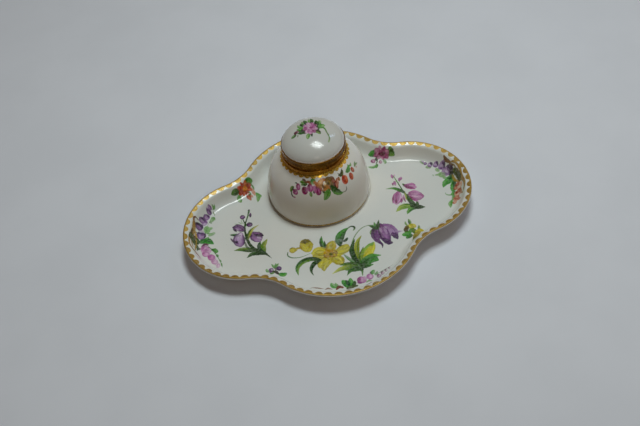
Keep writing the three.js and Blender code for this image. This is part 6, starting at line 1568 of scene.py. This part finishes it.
cz = WZ0
liner, _ = lathe("liner_china", np.vstack([[[0, 14.0 * K + cz]], rounded(np.array([
    (0.001, 14.0), (9.6, 14.25), (12.8, 15.8), (14.5, 18.6), (15.0, 22.5), (15.0, 42.05), (16.9, 42.05), (17.25, 42.4), (17.25, 43.3), (16.75, 43.7),
    (14.2, 43.7), (13.2, 43.1), (12.8, 41.6), (12.8, 22.8), (12.2, 19.6), (10.8, 17.6), (8.4, 16.5), (0.001, 16.2)]) * K + [0, cz], 0.6 * K, 5)[1:-1], [[0, 16.2 * K + cz]]]), 240, (WX, WY))
fix_normals(liner)

collar, _ = lathe("collar_brass", rounded(np.array([
    (20.15, 40.45), (20.72, 40.45), (20.9, 40.62), (20.9, 41.1), (20.74, 41.28), (20.74, 42.2), (20.86, 42.38), (20.86, 42.85), (20.3, 43.3), (19.8, 43.45), (19.7, 43.8),
    (17.9, 43.8), (17.7, 43.6), (17.7, 43.0), (20.15, 43.0)]) * K + [0, cz], 0.1 * K, 3, closed=True), 360, (WX, WY), close=True)
fix_normals(collar)
bezel, _ = lathe("bezel_brass", rounded(np.array([
    (17.6, 44.3), (17.8, 44.1), (19.7, 44.1), (19.8, 44.6), (20.3, 45.0), (20.6, 45.3), (20.6, 45.95), (20.42, 46.15), (20.42, 48.3), (20.6, 48.5), (20.6, 49.1), (20.5, 49.5), (20.35, 49.7), (20.1, 49.7),
    (20.08, 49.2), (20.08, 45.1), (17.6, 45.1)]) * K + [0, cz], 0.1 * K, 3, closed=True), 360, (WX, WY), close=True)
fix_normals(bezel)
cement1, _ = lathe("collar_plaster", rounded(np.array([
    (19.46, 40.7), (20.08, 40.7), (20.08, 42.94), (17.8, 42.94), (17.8, 42.06), (19.46, 42.06)]) * K + [0, cz], 0.06 * K, 2, closed=True), 240, (WX, WY), close=True)
fix_normals(cement1)
cement2, _ = lathe("lid_plaster", rounded(np.array([(19.35, 45.2), (20.0, 45.2), (20.0, 48.9), (19.35, 48.9)]) * K + [0, cz], 0.06 * K, 2, closed=True), 240, (WX, WY), close=True)
fix_normals(cement2)
leaf_a, leaf_b, pin = build_collar_leaf(), build_lid_leaf(), build_pin()


def bare_feet(ob, zmax, r_in=None):
    """The ground of the foot is left without glaze."""
    me = ob.data; n = len(me.vertices)
    v = np.empty(n * 3, np.float32); me.vertices.foreach_get("co", v)
    z = v.reshape(-1, 3)[:, 2] / MM
    me.attributes.new("Bare", "FLOAT", "POINT").data.foreach_set("value", smooth(zmax + 0.12, zmax - 0.12, z).astype(np.float32))


bare_feet(tray, 0.28 * K)
bare_feet(well, WELL_LO[2] + 0.14 * K)
bare_feet(lid, -5); bare_feet(liner, -5)

# the lid's glaze is dimmed to 0.89: painted shade
# the well's gilding is real; its gold, brighter than the tray's, is painted highlight on the front scallops
M_TRAY, M_WELL, M_LID = china("tray_china"), china("well_china", warm=1.5, gild=((236, 200, 84), (214, 172, 60)), burnish=(0.20, 0.32)), china("lid_china", painted_shade_factor=0.89)
M_LINER = china("liner_china", painted=False)
M_BRASS, M_BEZEL = brass("gilt_brass", 0.7, 1.0, (186, 134, 46), (156, 104, 28), (92, 56, 14)), brass("gilt_brass_dull", 0.4, 1.0, (126, 86, 32), (92, 58, 17), (54, 32, 9))
M_HINGE, M_PIN = brass("hinge_brass", 0.6, 0.6), brass("pin_brass", 0.8, 0.5)
M_PLAST = plaster("set_plaster")
for ob, mat, node, body, slot_name in (
        (tray, M_TRAY, "tray", "tray", "porcelain_tray"), (well, M_WELL, "well_body", "well", "porcelain_well"),
        (lid, M_LID, "lid_dome", "lid", "porcelain_lid"), (liner, M_LINER, "ink_liner", "liner", "porcelain_liner"),
        (collar, M_BRASS, "collar_ring", "well", "brass_mounts"), (bezel, M_BEZEL, "lid_bezel", "lid", "brass_mounts"),
        (cement1, M_PLAST, "collar_cement", "well", "plaster"), (cement2, M_PLAST, "lid_cement", "lid", "plaster"),
        (leaf_a, M_HINGE, "collar_hinge_leaf", "well", "brass_mounts"), (leaf_b, M_HINGE, "lid_hinge_leaf", "lid", "brass_mounts"),
        (pin, M_PIN, "hinge_pin", "well", "brass_pin")):
    ob.data.materials.clear(); ob.data.materials.append(mat)
    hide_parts(node)
    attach(ob, body)

# ------------------------------------------------------------------ floor, light, camera
F = 4000.0
floor = make_mesh("paper_floor", np.array([(-F, -F, -0.03), (F, -F, -0.03), (F, F, -0.03), (-F, F, -0.03)]), None, [(0, 1, 2, 3)])
PALE = (0.40, 0.425, 0.44)
pale_paper = paper("pale_paper")
# far from the stand the paper runs into the pale room, as the camera sees it
pt = pale_paper.node_tree
p_out = next(n for n in pt.nodes if n.type == "OUTPUT_MATERIAL"); p_src = p_out.inputs["Surface"].links[0].from_socket
p_geo = pt.nodes.new("ShaderNodeNewGeometry"); p_len = pt.nodes.new("ShaderNodeVectorMath"); p_len.operation = "LENGTH"
pt.links.new(p_geo.outputs["Position"], p_len.inputs[0])
p_map = pt.nodes.new("ShaderNodeMapRange"); p_map.interpolation_type = "SMOOTHSTEP"; pt.links.new(p_len.outputs["Value"], p_map.inputs[0])
p_map.inputs[1].default_value, p_map.inputs[2].default_value = 0.36, 0.80
p_path = pt.nodes.new("ShaderNodeLightPath"); p_mul = pt.nodes.new("ShaderNodeMath"); p_mul.operation = "MULTIPLY"
pt.links.new(p_map.outputs[0], p_mul.inputs[0]); pt.links.new(p_path.outputs["Is Camera Ray"], p_mul.inputs[1])
p_glow = pt.nodes.new("ShaderNodeEmission"); p_glow.inputs[0].default_value = (*PALE, 1)
p_mix = pt.nodes.new("ShaderNodeMixShader"); pt.links.new(p_mul.outputs[0], p_mix.inputs[0]); pt.links.new(p_src, p_mix.inputs[1]); pt.links.new(p_glow.outputs[0], p_mix.inputs[2])
pt.links.new(p_mix.outputs[0], p_out.inputs["Surface"])
floor.data.materials.append(pale_paper)

world = bpy.data.worlds.new("room"); bpy.context.scene.world = world
world.use_nodes = True
bg = world.node_tree.nodes["Background"]
wt = world.node_tree
tc = wt.nodes.new("ShaderNodeTexCoord"); sep = wt.nodes.new("ShaderNodeSeparateXYZ"); wt.links.new(tc.outputs["Generated"], sep.inputs[0])
mr = wt.nodes.new("ShaderNodeMapRange"); mr.interpolation_type = "SMOOTHSTEP"
wt.links.new(sep.outputs["Z"], mr.inputs[0]); mr.inputs[1].default_value = -0.05; mr.inputs[2].default_value = 0.95
mixw = wt.nodes.new("ShaderNodeMix"); mixw.data_type = "RGBA"; wt.links.new(mr.outputs[0], mixw.inputs[0])
mixw.inputs[6].default_value = (0.190, 0.110, 0.046, 1); mixw.inputs[7].default_value = (0.012, 0.010, 0.022, 1)
# the room's warm walls light the stand; what the eye sees past the paper is a pale grey
path = wt.nodes.new("ShaderNodeLightPath")
seen = wt.nodes.new("ShaderNodeMix"); seen.data_type = "RGBA"
wt.links.new(path.outputs["Is Camera Ray"], seen.inputs[0]); wt.links.new(mixw.outputs[2], seen.inputs[6]); seen.inputs[7].default_value = (*PALE, 1)
wt.links.new(seen.outputs[2], bg.inputs[0]); bg.inputs[1].default_value = 1.0


def panel(name, direction, dist, sx, sy, power, color=(1, 1, 1), spread=180):
    d = Vector(direction).normalized()
    light = bpy.data.lights.new(name, "AREA"); light.shape = "RECTANGLE"; light.size = sx; light.size_y = sy
    light.energy = power; light.color = color; light.spread = math.radians(spread)
    ob = bpy.data.objects.new(name, light); bpy.context.scene.collection.objects.link(ob)
    ob.location = Vector((0, 0.02, 0.03)) + d * dist
    ob.rotation_mode = "QUATERNION"; ob.rotation_quaternion = (-d).to_track_quat("-Z", "Y")
    return ob


panel("ceiling_light", (0.150, 0.120, 0.980), 0.82, 0.290, 0.200, 3.45, (0.92, 1.0, 0.985))
panel("window", (0.622, 0.425, 0.659), 2.0, 0.12, 0.42, 1.8, (0.52, 0.74, 1.0))
panel("room_right", (1.0, -0.15, 0.45), 1.2, 0.7, 0.6, 0.8, (1.0, 0.84, 0.78))
panel("room_front", (-0.02, -0.76, 0.68), 1.6, 0.28, 0.22, 1.15, (1.0, 0.90, 0.74))
panel("room_back", (0.3, 1.0, 0.9), 1.6, 1.0, 0.6, 0.5, (1.0, 0.7, 0.45))
panel("small_pane", (-0.21, 0.43, 0.88), 1.6, 0.05, 0.16, 0.10, (0.9, 0.96, 1.0))

# the camera that sees the stand as in the picture: turned, tilted and rolled
az, el, roll, f_px, width_px = 0.14104011, 0.85894232, -0.14305829, 900.0, 640.0
t = Vector((5.93362 * K, 4.23808 * K, 589.79212 * K))
ca, sa, ce, se, cr, sr = math.cos(az), math.sin(az), math.cos(el), math.sin(el), math.cos(roll), math.sin(roll)
R = Matrix(((cr, -sr, 0), (sr, cr, 0), (0, 0, 1))) @ Matrix(((1, 0, 0), (0, -se, -ce), (0, ce, -se))) @ Matrix(((ca, -sa, 0), (sa, ca, 0), (0, 0, 1)))
cam_data = bpy.data.cameras.new("camera"); cam_data.sensor_fit = "HORIZONTAL"; cam_data.sensor_width = 36.0
cam_data.lens = 36.0 * f_px / width_px
cam_data.shift_x, cam_data.shift_y = -0.5 / width_px, 0.5 / width_px      # the picture's pixel centres
cam_data.clip_start, cam_data.clip_end = 0.01, 50
cam = bpy.data.objects.new("camera", cam_data); bpy.context.scene.collection.objects.link(cam)
axes = Matrix((R[0], -R[1], -R[2])).transposed()
cam.matrix_world = Matrix.Translation((-(R.transposed() @ t)) * MM) @ axes.to_4x4()
bpy.context.scene.camera = cam
vs = bpy.context.scene.view_settings
vs.view_transform = "Standard"; vs.look = "None"; vs.exposure = 0.0; vs.gamma = 1.0
